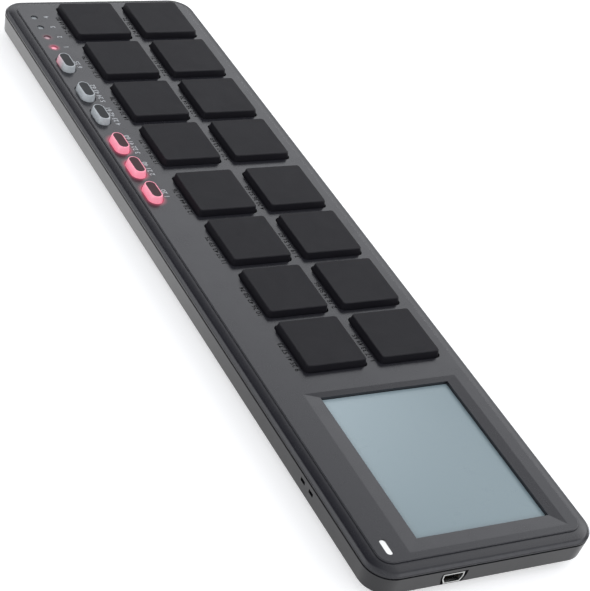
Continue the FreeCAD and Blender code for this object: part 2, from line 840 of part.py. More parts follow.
def open_touch_frame(body):
    """Slope the deck down to the touch panel's window and open the window."""
    left, right, front, rear = touch_sides("0")
    slope_top = new_sketch(body, "slope_top", "upper_height")
    draw_rectangle(slope_top, f"{left} - frame_near", f"{right} + frame_far",
                   f"{front} - frame_front", f"{rear} + frame_rear")
    slope_foot = new_sketch(body, "slope_foot", "upper_height - frame_drop")
    draw_rectangle(slope_foot, left, right, front, rear)
    loft(body, [slope_foot, slope_top], cutting=True)
    window = new_sketch(body, "window", "upper_height")
    draw_rectangle(window, left, right, front, rear)
    cut_in(body, window, name="window")


def touch_sides(shrink):
    """Return the four sides of the touch window, moved inwards."""
    return (f"touch_near_x + {shrink}", f"touch_far_x - ({shrink})",
            f"touch_front_y + {shrink}", f"touch_rear_y - ({shrink})")


def foot_form():
    """Model one round rubber foot."""
    body = new_body("foot_form")
    disc = new_sketch(body, "disc")
    draw_circle(disc, "0", "0", "foot_radius")
    raise_up(body, disc, "foot_proud")
    return body


# Pads and buttons


def pad_form():
    """Model one rubber pad: retained flange, tapered top, hollow underside and its nub."""
    body = new_body("pad_form")
    # The flange's corners are cut off further than the top's, so that they clear the screw bosses.
    flange = new_sketch(body, "flange")
    draw_octagon(flange, "pad_length / 2 + pad_flange", "pad_depth / 2 + pad_flange", "pad_flange_corner")
    raise_up(body, flange, "pad_flange_thickness", name="flange")
    skirt = new_sketch(body, "skirt", "pad_flange_thickness")
    draw_octagon(skirt, "pad_length / 2", "pad_depth / 2", "pad_corner")
    raise_up(body, skirt, "deck_z - cap_top_z", name="skirt")
    deck_level = "deck_z - pad_flange_z"
    top_level = f"{deck_level} + pad_rise"
    top = new_sketch(body, "top", deck_level)
    draw_octagon(top, "pad_length / 2", "pad_depth / 2", "pad_corner")
    tapered = raise_up(body, top, "pad_rise", name="top")
    bind(tapered, "TaperAngle", "-atan(pad_taper / pad_rise)")
    bevel(body, tapered, top_level, "pad_bevel", "pad_bevel")
    hollow = new_sketch(body, "hollow")
    draw_rectangle(hollow, *centred("pad_length - 2 * pad_wall", "pad_depth - 2 * pad_wall"))
    roof = f"{top_level} - pad_wall"
    cut_in(body, hollow, roof, up=True, name="hollow")
    nub = new_sketch(body, "nub", "-nub_proud")
    draw_rectangle(nub, *centred("pad_nub", "pad_nub"))
    raise_up(body, nub, f"{roof} + nub_proud", name="nub")
    return body


def button_form():
    """Model one clear button cap: retained flange, hollow underside and the nub for its switch."""
    body = new_body("button_form")
    flange = new_sketch(body, "flange")
    draw_rectangle(flange, *centred("button_length + 2 * button_flange", "button_depth + 2 * button_flange"))
    raise_up(body, flange, "button_flange_thickness", name="flange")
    stem = new_sketch(body, "stem", "button_flange_thickness")
    draw_slot(stem, "0", "0", "button_length", "button_depth")
    top_level = "deck_z + button_rise - button_flange_z"
    raise_up(body, stem, f"{top_level} - button_flange_thickness", name="stem")
    hollow = new_sketch(body, "hollow")
    draw_rectangle(hollow, *centred("button_length - 2 * button_end_wall", "button_depth - 2 * button_wall"))
    cut_in(body, hollow, "button_hollow", up=True, name="hollow")
    nub_level = "switch_top_z + button_travel + stop_gap - button_flange_z"
    nub = new_sketch(body, "nub", nub_level)
    draw_rectangle(nub, *centred("button_nub", "button_nub"))
    raise_up(body, nub, f"button_hollow - ({nub_level})", name="nub")
    return body


# Indicator windows and the touch panel


def light_guide():
    """Model the clear strip under the deck whose four stems are the round indicator windows."""
    body = new_body("light_guide", z="deck_under_z - lens_flange_thickness")
    strip = new_sketch(body, "strip")
    half = "(lens_radius + lens_flange)"
    draw_rectangle(strip, f"{lens_x(0)} - {half}", f"{lens_x(LENSES - 1)} + {half}",
                   f"button_row_y - {half}", f"button_row_y + {half}")
    raise_up(body, strip, "lens_flange_thickness", name="strip")
    stems = new_sketch(body, "stems", "lens_flange_thickness")
    draw_circles(stems, lens_places(), "lens_radius - snug_fit")
    raise_up(body, stems, "deck_wall - lens_sink", name="stems")
    return body


def power_lens():
    """Model the slot-shaped window of the power indicator."""
    body = new_body("power_lens", "power_x", "power_y", "deck_under_z - lens_flange_thickness")
    flange = new_sketch(body, "flange")
    draw_rectangle(flange, *centred("power_length + 2 * lens_flange", "power_depth + 2 * lens_flange"))
    raise_up(body, flange, "lens_flange_thickness", name="flange")
    stem = new_sketch(body, "stem", "lens_flange_thickness")
    draw_slot(stem, "0", "0", "power_length - 2 * snug_fit", "power_depth - 2 * snug_fit")
    raise_up(body, stem, "deck_wall - lens_sink", name="stem")
    return body


def touch_panel():
    """Model the touch panel, which lies on its board inside the window."""
    body = new_body("touch_panel", z="deck_under_z")
    outline = new_sketch(body, "outline")
    draw_rectangle(outline, *touch_sides("touch_gap"))
    raise_up(body, outline, "touch_thickness")
    return body


# Circuit boards and what they carry


def pad_board():
    """Model the board under the pads and buttons, with room for bosses and screws."""
    body = new_body("pad_board", z="pad_board_z")
    outline = new_sketch(body, "outline")
    half_depth = "(case_depth / 2 - board_inset)"
    draw_polygon(outline, [
        ("pad_board_near_x", f"-{half_depth}"),
        ("far_x - board_inset - board_corner", f"-{half_depth}"),
        ("far_x - board_inset", f"board_corner - {half_depth}"),
        ("far_x - board_inset", f"{half_depth} - board_corner"),
        ("far_x - board_inset - board_corner", half_depth),
        ("pad_board_near_x", half_depth),
    ])
    raise_up(body, outline, "pad_board_thickness")
    cut_boss_holes(body, pad_screw_places(), "pad_board_thickness")
    return body


def cut_boss_holes(body, places, thickness):
    """Cut square holes through a board or sheet, with room for the bosses."""
    holes = new_sketch(body, "boss_holes", thickness)
    draw_squares(holes, places, "2 * (boss_radius + boss_clear)")
    cut_in(body, holes, name="boss_holes")


def sensor_sheet():
    """Model the pressure sensor sheet that lies on the pad board under the pads."""
    body = new_body("sensor_sheet", z="pad_board_top_z")
    outline = new_sketch(body, "outline")
    draw_rectangle(outline, "pads_near_x", "pads_far_x", "pads_front_y - pad_flange - sensor_margin",
                   "pads_rear_y + pad_flange + sensor_margin")
    raise_up(body, outline, "sensor_thickness")
    cut_boss_holes(body, pad_screw_places(), "sensor_thickness")
    return body


def tact_switches():
    """Model the six low switches under the buttons."""
    body = new_group("tact_switches", "pad_board_top_z")
    cases = new_sketch(body, "cases")
    for index in range(BUTTONS):
        draw_block(cases, button_x(index), "button_row_y", "switch_side", "switch_side")
    raise_up(body, cases, "switch_height")
    return body


def led_chips():
    """Model the lamps beside the switches and under the round windows."""
    body = new_group("led_chips", "pad_board_top_z")
    chips = new_sketch(body, "chips")
    for index in range(BUTTONS):
        draw_block(chips, f"{button_x(index)} + led_offset", "button_row_y", "led_length", "led_depth")
    for index in range(LENSES):
        draw_block(chips, lens_x(index), "button_row_y", "led_length", "led_depth")
    raise_up(body, chips, "led_height")
    return body


def scan_chips():
    """Model the two chips under the pad board that read the sensor sheet."""
    body = new_group("scan_chips", "pad_board_z")
    chips = new_sketch(body, "chips")
    for column in CHIP_COLUMNS:
        draw_block(chips, between_columns(column), "pad_mid_y", "chip_side", "chip_side")
    raise_up(body, chips, "chip_height", down=True)
    return body


def control_board():
    """Model the board at the near end, with room for a boss and its screws."""
    body = new_body("control_board", z="control_board_z")
    outline = new_sketch(body, "outline")
    draw_rectangle(outline, "control_board_near_x", "control_board_far_x",
                   "control_board_front_y", "control_board_rear_y")
    raise_up(body, outline, "control_board_thickness")
    cut_boss_holes(body, control_screw_places()[1:], "control_board_thickness")
    return body


def box_part(name, left, right, front, rear, base, height):
    """Model a plain block between those sides."""
    box = document.addObject("Part::Box", name)
    box.Label = name
    place(box, left, front, base)
    bind(box, "Length", f"({right}) - ({left})")
    bind(box, "Width", f"({rear}) - ({front})")
    bind(box, "Height", height)
    return box


def touch_board():
    """Model the touch panel's board, up against the deck round the window."""
    left, right, front, rear = touch_sides("-touch_board_margin")
    return box_part("touch_board", left, right, front, rear, "touch_board_z", "touch_board_thickness")


def touch_connector():
    """Model the connector between the control board and the touch board."""
    return box_part("touch_connector", "touch_x - connector_length / 2", "touch_x + connector_length / 2",
                    "touch_y - connector_depth / 2", "touch_y + connector_depth / 2",
                    "control_board_top_z", "connector_height")


def main_chip():
    """Model the main chip under the control board."""
    return box_part("main_chip", "touch_x - chip_side / 2", "touch_x + chip_side / 2",
                    "touch_y - chip_side / 2", "touch_y + chip_side / 2",
                    "control_board_z - chip_height", "chip_height")


def power_led():
    """Model the lamp under the power indicator's window."""
    return box_part("power_led", "power_x - led_length / 2", "power_x + led_length / 2",
                    "power_y - led_depth / 2", "power_y + led_depth / 2",
                    "control_board_top_z", "led_height")


def board_cable():
    """Model the ribbon that runs down from the control board to the pad board."""
    body = new_body("board_cable", y="touch_y")
    profile = new_sketch(body, "profile", plane="XZ_Plane")
    high = "control_board_z"
    low = "pad_board_z"
    stations = [("control_board_far_x - cable_lap", high), ("control_board_far_x + cable_clear", high),
                ("pad_board_near_x - cable_clear", low), ("pad_board_near_x + cable_lap", low)]
    top = stations[::-1]
    bottom = [(x, f"{z} - cable_thickness") for x, z in stations]
    draw_polygon(profile, bottom + top)
    ribbon = raise_up(body, profile, "cable_width")
    ribbon.Midplane = True
    return body


# The USB socket


def port_body(name):
    """Start a body at the middle of the socket's mouth."""
    return new_body(name, "near_x + port_sink", "port_y", "port_z")


def usb_socket():
    """Model the socket's metal shell, open in front and closed behind."""
    body = port_body("usb_socket")
    outside = new_sketch(body, "outside", plane="YZ_Plane")
    draw_port(outside, "0", "0", "0")
    raise_up(body, outside, "port_length", name="shell")
    inside = new_sketch(body, "inside", plane="YZ_Plane")
    draw_port(inside, "-port_shell", "-port_shell", "-port_shell")
    cut_in(body, inside, "port_length - port_shell", up=True, name="mouth")
    return body


def usb_tongue():
    """Model the contact block at the back of the socket and the tongue that stands out of it."""
    body = port_body("usb_tongue")
    root = new_sketch(body, "root", "port_length - port_shell", "YZ_Plane")
    inset = "-port_shell - snug_fit"
    draw_port(root, inset, inset, inset)
    raise_up(body, root, "tongue_root", down=True, name="root")
    blade = new_sketch(body, "blade", "tongue_short", "YZ_Plane")
    draw_rectangle(blade, *centred("tongue_width", "tongue_thickness"))
    raise_up(body, blade, "port_length - port_shell - tongue_root - tongue_short", name="blade")
    return body


# Screws


def case_screws():
    """Model the screws that pull the two case halves together from below."""
    body = new_group("case_screws", "0")
    for name, places, board_z in screw_levels():
        seat = f"{board_z} - screw_grip"
        heads = new_sketch(body, f"{name}_heads", seat)
        draw_circles(heads, places, "case_head_radius")
        raise_up(body, heads, "case_head_height", down=True, name=f"{name}_heads")
        shanks = new_sketch(body, f"{name}_shanks", seat)
        draw_circles(shanks, places, "case_screw_radius")
        raise_up(body, shanks, "screw_grip + screw_bite", name=f"{name}_shanks")
    return body


# Putting it together


def repeated_parts():
    """Return the pads, buttons and feet, each a copy of its form at its own place."""
    parts = []
    pad = pad_form()
    for row in range(PAD_ROWS):
        for column in range(PAD_COLUMNS):
            name = f"pad_{row * PAD_COLUMNS + column + 1:02d}"
            parts.append(copy_of(pad, name, pad_x(column), pad_y(row), "pad_flange_z"))
    button = button_form()
    for index in range(BUTTONS):
        name = f"button_{index + 1}"
        parts.append(copy_of(button, name, button_x(index), "button_row_y", "button_flange_z"))
    foot = foot_form()
    for number, (x, y) in enumerate(foot_places(), start=1):
        parts.append(copy_of(foot, f"foot_{number}", x, y, "0"))
    return parts


def single_parts():
    """Return the pieces that there is only one of, and the groups of screws and chips."""
    return [
        lower_case(),
        upper_case(),
        touch_panel(),
        touch_board(),
        touch_connector(),
        light_guide(),
        power_lens(),
        power_led(),
        pad_board(),
        sensor_sheet(),
        tact_switches(),
        led_chips(),
        scan_chips(),
        control_board(),
        main_chip(),
        board_cable(),
        usb_socket(),
        usb_tongue(),
        case_screws(),
    ]


def check(parts):
    """Stop if an object failed, a sketch is loose, a cut missed or a part has a bad shape."""
    faults = []
    for item in document.Objects:
        if "Invalid" in item.State or "Error" in item.State:
            faults.append(f"{item.Label} is {item.State}")
        if item.TypeId == "Sketcher::SketchObject" and not item.FullyConstrained:
            faults.append(f"sketch {item.Label} is not fully constrained")
    for cut in cuts:
        if cut.Shape.Volume >= cut.BaseFeature.Shape.Volume:
            faults.append(f"{cut.Label} removes nothing")
    for part in parts:
        if part.Shape.isNull() or not part.Shape.isValid():
            faults.append(f"{part.Label} has no valid shape")
    if faults:
        raise RuntimeError("; ".join(faults))


def export(parts):
    """Write each part to a STEP file under its label."""
    os.makedirs("parts", exist_ok=True)
    for part in parts:
        part.Shape.exportStep(f"parts/{part.Label}.step")
        solids = len(part.Shape.Solids)
        print(f"{part.Label}: {solids} solid(s), {part.Shape.Volume:.1f} cubic millimetres")


fill_sheet()
all_parts = single_parts() + repeated_parts()
document.recompute()
check(all_parts)
export(all_parts)
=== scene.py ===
"""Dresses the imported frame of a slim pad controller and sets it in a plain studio.

It is laid out as an add-on and run as a script: its operators make the pieces in order.
Everything is in metres, in the frame's own axes: +X to the player's right, +Y away, +Z up.
"""

import math

import bmesh
import bpy
from bpy.props import FloatProperty, FloatVectorProperty, IntProperty, PointerProperty
from mathutils import Matrix, Vector


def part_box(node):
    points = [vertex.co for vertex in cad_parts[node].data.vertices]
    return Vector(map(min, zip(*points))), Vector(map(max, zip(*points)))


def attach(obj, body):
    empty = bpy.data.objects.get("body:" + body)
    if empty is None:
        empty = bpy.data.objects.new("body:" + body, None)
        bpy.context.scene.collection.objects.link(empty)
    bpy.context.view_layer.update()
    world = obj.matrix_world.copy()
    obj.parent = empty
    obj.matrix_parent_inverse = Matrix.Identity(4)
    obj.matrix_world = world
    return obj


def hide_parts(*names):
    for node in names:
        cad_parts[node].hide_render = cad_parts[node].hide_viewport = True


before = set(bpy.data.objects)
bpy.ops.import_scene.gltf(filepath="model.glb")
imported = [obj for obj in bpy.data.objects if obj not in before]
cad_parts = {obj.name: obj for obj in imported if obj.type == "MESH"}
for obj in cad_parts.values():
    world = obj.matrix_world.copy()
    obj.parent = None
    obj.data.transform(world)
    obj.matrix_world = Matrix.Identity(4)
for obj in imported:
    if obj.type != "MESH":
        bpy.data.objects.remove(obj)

bl_info = {
    "name": "Pad controller",
    "version": (1, 0, 0),
    "blender": (4, 5, 0),
    "location": "3D View > Sidebar > Pad controller",
    "description": "Dresses the packed frame of a pad controller and lights it for one picture",
    "category": "Object",
}

MM = 0.001
CASE_BODY = "controller"
PADS = [f"pad_{number:02d}" for number in range(1, 17)]
BUTTONS = [f"button_{number}" for number in range(1, 7)]
FEET = [f"foot_{number}" for number in range(1, 5)]
WINDOWS = 4
# Only the first few buttons are lit
LIT_BUTTONS = 3
# How many numbers are printed beside each pad and beside each button
PAD_NUMBERS = 5
BUTTON_NUMBERS = (2, 3, 4, 4, 4, 2)
# The radius of a long shape's ends as a share of half its width, a hair short of a half circle
ROUND = 0.999
# How far two parts of one piece run into each other
OVERLAP = 0.1 * MM
# The kinds of socket that the shader groups use
NUMBER = "NodeSocketFloat"
COLOUR = "NodeSocketColor"


def linear(code):
    """Return the linear colour of a six-digit colour code."""
    channels = [int(code[start:start + 2], 16) / 255 for start in (0, 2, 4)]
    return tuple(((c + 0.055) / 1.055) ** 2.4 if c > 0.04045 else c / 12.92 for c in channels)


def length(name, description, millimetres):
    """Return a property for a length, given in millimetres."""
    return FloatProperty(name=name, description=description, default=millimetres * MM,
                         unit="LENGTH", precision=5)


def tint(name, description, code):
    """Return a property for a colour, given as a six-digit code."""
    return FloatVectorProperty(name=name, description=description, subtype="COLOR", size=3,
                               min=0, max=1, default=linear(code))


# What a user may change


class CaseSettings(bpy.types.PropertyGroup):
    """Sizes and colours of the two case halves."""

    corner: length("Corner radius", "Radius of the case's four corners, seen from above", 9.0)
    corner_steps: IntProperty(name="Corner steps", description="Faces round each corner", default=12,
                              min=1)
    lip: length("Lip", "Thickness of the cover's wall at the seam", 1.0)
    deck: length("Deck", "Thickness of the deck", 2.0)
    rise: length("Rise", "Height of the cover above the seam", 2.7)
    seam_edge: length("Seam edge", "Height of the broken edge along the seam", 0.3)
    seam_inset: length("Seam inset", "Depth of the broken edge along the seam", 0.15)
    side: length("Side", "Height of the cover's upright side above that edge", 0.2)
    shoulder: length("Shoulder radius", "Rounding between the side and the shoulder's slant", 0.5)
    slant: length("Slant", "Width and height of the shoulder's slanting part", 0.55)
    brow: length("Brow radius", "Rounding between the slant and the sloping rim", 1.6)
    ledge_outer: length("Ledge, outer", "Distance of the rim's ledge from the outline", 3.0)
    ledge_inner: length("Ledge, inner", "Distance of the foot of the plate's edge from the outline", 4.25)
    ledge_depth: length("Ledge depth", "Depth of the ledge below the plate", 0.5)
    ledge_fall: length("Ledge fall", "How far the ledge drops towards its outer side", 0.03)
    plate_edge: length("Plate edge", "Rounding of the plate's edge", 0.35)
    hole_edge: length("Hole edge", "Width of the broken edge round each opening", 0.15)
    base_edge: length("Base edge", "Rounding of the lower half's outer edges", 0.6)
    plate_colour: tint("Cover colour", "Satin plastic of the upper half", "202025")
    tray_colour: tint("Tray colour", "Plastic of the lower half", "1a1a1d")
    worn_colour: tint("Worn colour", "Plastic where an edge has been rubbed", "38383c")


class PadSettings(bpy.types.PropertyGroup):
    """Sizes and colours of the rubber pads."""

    flange: length("Flange", "How far the hidden flange stands out all round", 1.2)
    flange_height: length("Flange height", "Thickness of the hidden flange", 1.0)
    clearance: length("Clearance", "Gap between a pad and its hole", 0.35)
    corner: length("Corner radius", "Radius of a pad's upright corners", 1.5)
    taper: length("Taper", "How far each side leans in over its height", 0.55)
    edge: length("Edge radius", "Rounding of the top edge", 0.35)
    colour: tint("Rubber colour", "Soft black rubber of the pads", "151419")
    worn_colour: tint("Rubbed colour", "Rubber along a pad's top edge", "28272b")


class ButtonSettings(bpy.types.PropertyGroup):
    """Sizes and colours of the clear buttons with their dark tops."""

    flange: length("Flange", "How far the hidden flange stands out all round", 0.9)
    flange_height: length("Flange height", "Thickness of the hidden flange", 0.9)
    clearance: length("Clearance", "Gap between a button and its hole", 0.3)
    taper: length("Taper", "How far each side leans in over its height", 0.42)
    edge: length("Edge radius", "Rounding of the top edge", 0.25)
    rim: length("Rim", "Width of the clear rim round the dark top", 0.38)
    sink: length("Sink", "Depth of the dark top below the rim", 0.08)
    clear_colour: tint("Clear colour", "Milky plastic of a button that isn't lit", "b6bbbe")
    lit_colour: tint("Lit colour", "Light of a lit button", "ff6c8c")
    lit_body_colour: tint("Lit body colour", "Milky plastic of a lit button, made pink by its light",
                          "c89ca8")
    top_colour: tint("Top colour", "Dark printed top of a button", "1d2023")
    lit_top_colour: tint("Lit top colour", "Dark top of a lit button, with the light behind it", "38181e")
    glow_reach: length("Glow reach", "How far the light spreads over the deck", 2.3)


class WindowSettings(bpy.types.PropertyGroup):
    """Sizes and colours of the touch panel and the indicator windows."""

    frame_near: length("Frame, near", "Width of the slope on the near side of the touch panel", 5.3)
    frame_far: length("Frame, far", "Width of the slope on the far side", 2.3)
    frame_front: length("Frame, front", "Width of the slope in front", 4.1)
    frame_rear: length("Frame, rear", "Width of the slope behind", 5.4)
    frame_drop: length("Frame drop", "How far the slope falls towards the window", 0.3)
    panel_gap: length("Panel gap", "Gap round the touch panel", 0.15)
    lens_radius: length("Lens radius", "Radius of the round indicator windows", 1.4)
    core: length("Core", "Radius of the bright middle of a lit window", 0.6)
    faint: FloatProperty(name="Faint", description="Brightness of the second window beside the first",
                         default=0.25, min=0, max=1, subtype="FACTOR")
    lens_flange: length("Lens flange", "How far the light guide stands out under the deck", 0.7)
    panel_colour: tint("Panel colour", "Film on the touch panel", "7f9096")
    # What the film pales towards in its far corner: a painted highlight that stands in for the light on the
    # film there
    pale_colour: tint("Pale panel colour", "What the film pales towards in its far corner", "b0c0c6")
    clear_colour: tint("Window colour", "Smoky plastic of an unlit window", "8f9497")
    power_colour: tint("Power colour", "Light of the power window", "ffffff")


class LabelSettings(bpy.types.PropertyGroup):
    """Sizes and colours of the printed numbers."""

    height: length("Ink height", "Thickness of the print", 0.02)
    pad_size: length("Pad numbers", "Size of the numbers beside the pads", 2.6)
    button_size: length("Button numbers", "Size of the numbers beside the buttons and windows", 2.8)
    away: length("Numbers' distance", "From the middle of a button or window to its number", 5.2)
    dark: tint("Dark ink", "Ink of the pad numbers", "0c0c0e")
    pale: tint("Pale ink", "Ink of the button numbers", "b4b7ba")


class ControllerSettings(bpy.types.PropertyGroup):
    """Everything about the controller that a user may change."""

    case: PointerProperty(type=CaseSettings)
    pads: PointerProperty(type=PadSettings)
    buttons: PointerProperty(type=ButtonSettings)
    windows: PointerProperty(type=WindowSettings)
    labels: PointerProperty(type=LabelSettings)


# Meshes


def put_in_order(items, key):
    """Sort the points, edges or faces of a bmesh by the key, and number them anew."""
    places = {item: place for place, item in enumerate(sorted(items, key=key))}
    items.sort(key=places.get)
    items.index_update()


def mesh_from(name, bm):
    """Turn the bmesh into a mesh of that name, and free it."""
    # Extruding makes its points and faces in an order that changes from run to run
    put_in_order(bm.verts, lambda vert: tuple(vert.co))
    for items in (bm.edges, bm.faces):
        put_in_order(items, lambda item: sorted(vert.index for vert in item.verts))
    mesh = bpy.data.meshes.new(name)
    bm.to_mesh(mesh)
    bm.free()
    return mesh


def add_object(name, data):
    """Put a mesh, text, light or camera in the scene as an object of that name."""
    item = bpy.data.objects.new(name, data)
    bpy.context.scene.collection.objects.link(item)
    return item


def turn(face, down):
    """Turn the face to look down or up, and return it."""
    face.normal_update()
    if (face.normal.z > 0) == down:
        face.normal_flip()
        face.normal_update()
    return face


def add_outline(bm, low, high, z, radius, steps, down=False):
    """Add a flat face between two corners, its own corners round, that looks up or down."""
    verts = bmesh.ops.create_grid(bm, x_segments=1, y_segments=1, size=0.5)["verts"]
    face = verts[0].link_faces[0]
    size = Vector((high[0] - low[0], high[1] - low[1], 1))
    middle = Vector(((low[0] + high[0]) / 2, (low[1] + high[1]) / 2, z))
    bmesh.ops.scale(bm, vec=size, verts=verts)
    bmesh.ops.translate(bm, vec=middle, verts=verts)
    before = set(bm.faces) - {face}
    if radius > 0:
        bmesh.ops.bevel(bm, geom=verts, offset=radius, offset_type="OFFSET", segments=steps,
                        profile=0.5, affect="VERTICES", material=-1)
    face = next(item for item in bm.faces if item not in before)
    # The ends of two arcs that meet become one point
    bmesh.ops.remove_doubles(bm, verts=face.verts, dist=0.01 * MM)
    face = next(item for item in bm.faces if item not in before)
    return turn(face, down)


def move_on(bm, face, rise, inset=0):
    """Carry the face on along its normal by the rise, drawn in by the inset, and return it."""
    if inset:
        bmesh.ops.inset_region(bm, faces=[face], thickness=inset, depth=rise, use_even_offset=True,
                               use_boundary=True)
        return face
    direction = face.normal.copy()
    made = bmesh.ops.extrude_face_region(bm, geom=[face, *face.edges])["geom"]
    moved = next(item for item in made if isinstance(item, bmesh.types.BMFace))
    bmesh.ops.translate(bm, vec=direction * rise, verts=moved.verts)
    moved.normal_update()
    return moved


def round_over(bm, face, radius, steps, first=0, last=90, run=None):
    """Carry the face on round an arc between two slopes in degrees, or an ellipse with another run."""
    run = run or radius
    turns = [math.radians(first + (last - first) * step / steps) for step in range(steps + 1)]
    for start, end in zip(turns, turns[1:]):
        rise = radius * (math.sin(end) - math.sin(start))
        inset = run * (math.cos(start) - math.cos(end))
        face = move_on(bm, face, rise, inset)
    return face


def add_block(bm, low, high):
    """Add a plain block between two corners."""
    face = add_outline(bm, low, high, low[2], 0, 0)
    return move_on(bm, face, high[2] - low[2])


def add_disc(bm, x, y, z, radius, sides, down=False):
    """Add a round flat face that looks up or down."""
    place = Matrix.Translation((x, y, z))
    verts = bmesh.ops.create_circle(bm, cap_ends=True, radius=radius, segments=sides, matrix=place)["verts"]
    return turn(verts[0].link_faces[0], down)


def cad_copy(node):
    """Return a mesh of the node's shape with its loose triangles merged into whole faces."""
    bm = bmesh.new()
    bm.from_mesh(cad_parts[node].data)
    bmesh.ops.remove_doubles(bm, verts=bm.verts, dist=0.002 * MM)
    bmesh.ops.dissolve_limit(bm, angle_limit=math.radians(1), verts=bm.verts, edges=bm.edges)
    for edge in bm.edges:
        edge.smooth = True
    return bm


def solids_of(node):
    """Return the lowest and the highest corner of each separate solid in the node."""
    bm = cad_copy(node)
    waiting = set(bm.verts)
    boxes = []
    while waiting:
        found = [waiting.pop()]
        for vert in found:
            for edge in vert.link_edges:
                other = edge.other_vert(vert)
                if other in waiting:
                    waiting.remove(other)
                    found.append(other)
        corners = [[vert.co[axis] for vert in found] for axis in range(3)]
        boxes.append((Vector(map(min, corners)), Vector(map(max, corners))))
    bm.free()
    # The set gives its points in no fixed order, so the solids are put in one
    return sorted(boxes, key=lambda box: tuple(box[0]))


def subtract(bm, cutters):
    """Return the first mesh with the second cut out of it."""
    for source in (bm, cutters):
        bmesh.ops.recalc_face_normals(source, faces=source.faces)
    blank = add_object("blank", mesh_from("blank", bm))
    tool = add_object("cutters", mesh_from("cutters", cutters))
    cut = blank.modifiers.new("cut", "BOOLEAN")
    cut.operation = "DIFFERENCE"
    cut.solver = "EXACT"
    cut.object = tool
    bpy.context.view_layer.update()
    result = bmesh.new()
    result.from_mesh(blank.evaluated_get(bpy.context.evaluated_depsgraph_get()).data)
    for item in (blank, tool):
        mesh = item.data
        bpy.data.objects.remove(item)
        bpy.data.meshes.remove(mesh)
    bmesh.ops.remove_doubles(result, verts=result.verts, dist=0.001 * MM)
    return result


def make_piece(name, bm, body, materials, replaced=(), edge_tilt=(0.3, 0.9), crease=32):
    """Turn the mesh into a piece that rides on the body.

    Faces whose normal's upward share lies between the two tilts are marked as edges for wear.
    Edges that bend by more than the crease, in degrees, stay sharp.
    """
    bmesh.ops.recalc_face_normals(bm, faces=bm.faces)
    marks = bm.faces.layers.float.new("edge")
    for face in bm.faces:
        face[marks] = float(edge_tilt[0] < abs(face.normal.z) < edge_tilt[1])
        face.smooth = True
    for edge in bm.edges:
        edge.smooth = edge.smooth and edge.calc_face_angle(0) < math.radians(crease)
    piece = add_object(name, mesh_from(name, bm))
    for material in materials:
        piece.data.materials.append(material)
    normals = piece.modifiers.new("even_shading", "WEIGHTED_NORMAL")
    normals.keep_sharp = True
    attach(piece, body)
    if replaced:
        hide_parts(*replaced)
    return piece


def finish_nodes(material, *nodes):
    """Give the frame's own nodes a material in place of the plain one."""
    for node in nodes:
        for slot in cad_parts[node].material_slots:
            slot.link = "DATA"
            slot.material = material


# Where things are


def shrunk(box, margin):
    """Return the box's two corners drawn in sideways by the margin."""
    shift = Vector((margin, margin, 0))
    return box[0] + shift, box[1] - shift


def deck_height():
    """Return the height of the deck's upper face."""
    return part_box("upper_case")[1].z


def window_places(windows):
    """Return the middles of the round indicator windows."""
    low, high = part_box("light_guide")
    margin = windows.lens_radius + windows.lens_flange
    first = low.x + margin
    step = (high.x - margin - first) / (WINDOWS - 1)
    return [(first + index * step, (low.y + high.y) / 2) for index in range(WINDOWS)]


# Shader nodes


def add_node(tree, kind, inputs=None, **settings):
    """Add a node with those settings, and set or link its inputs by name or number."""
    node = tree.nodes.new(kind)
    for name, value in settings.items():
        setattr(node, name, value)
    for key, value in (inputs or {}).items():
        if isinstance(value, bpy.types.NodeSocket):
            tree.links.new(value, node.inputs[key])
        else:
            node.inputs[key].default_value = value
    return node


def calculate(tree, operation, *values, clamp=False):
    """Add a math node on the values and return what comes out of it."""
    node = add_node(tree, "ShaderNodeMath", dict(enumerate(values)), operation=operation, use_clamp=clamp)
    return node.outputs[0]


def mix_colours(tree, amount, first, second):
    """Add a colour mix and return its colour; the colours are sockets or linear colours."""
    inputs = {0: amount}
    for index, value in ((6, first), (7, second)):
        inputs[index] = value if isinstance(value, bpy.types.NodeSocket) else (*value, 1)
    return add_node(tree, "ShaderNodeMix", inputs, data_type="RGBA").outputs[2]


def slope(tree, value, start, end, first=0, last=1, smooth=False):
    """Return a number that goes from the first to the last as the value goes from start to end."""
    node = add_node(tree, "ShaderNodeMapRange", {
        "Value": value, "From Min": start, "From Max": end, "To Min": first, "To Max": last},
        interpolation_type="SMOOTHSTEP" if smooth else "LINEAR")
    return node.outputs["Result"]


def noise(tree, place, scale, detail, roughness=0.5, distortion=0):
    """Return a noise of that scale, from 0 to 1."""
    node = add_node(tree, "ShaderNodeTexNoise", {
        "Vector": place, "Scale": scale, "Detail": detail, "Roughness": roughness,
        "Distortion": distortion})
    return node.outputs["Fac"]


def object_place(tree):
    """Return the place on the piece, which is also its place in the frame."""
    return add_node(tree, "ShaderNodeTexCoord").outputs["Object"]


def object_axes(tree):
    """Return the X and the Y of the place on the piece."""
    parts = add_node(tree, "ShaderNodeSeparateXYZ", {0: object_place(tree)})
    return parts.outputs["X"], parts.outputs["Y"]


def new_group(name, inputs, outputs):
    """Start a shader node group with named sockets and return its tree and its inputs."""
    group = bpy.data.node_groups.new(name, "ShaderNodeTree")
    for direction, sockets in (("INPUT", inputs), ("OUTPUT", outputs)):
        for socket_name, socket_type in sockets.items():
            group.interface.new_socket(socket_name, in_out=direction, socket_type=socket_type)
    return group, group.nodes.new("NodeGroupInput").outputs


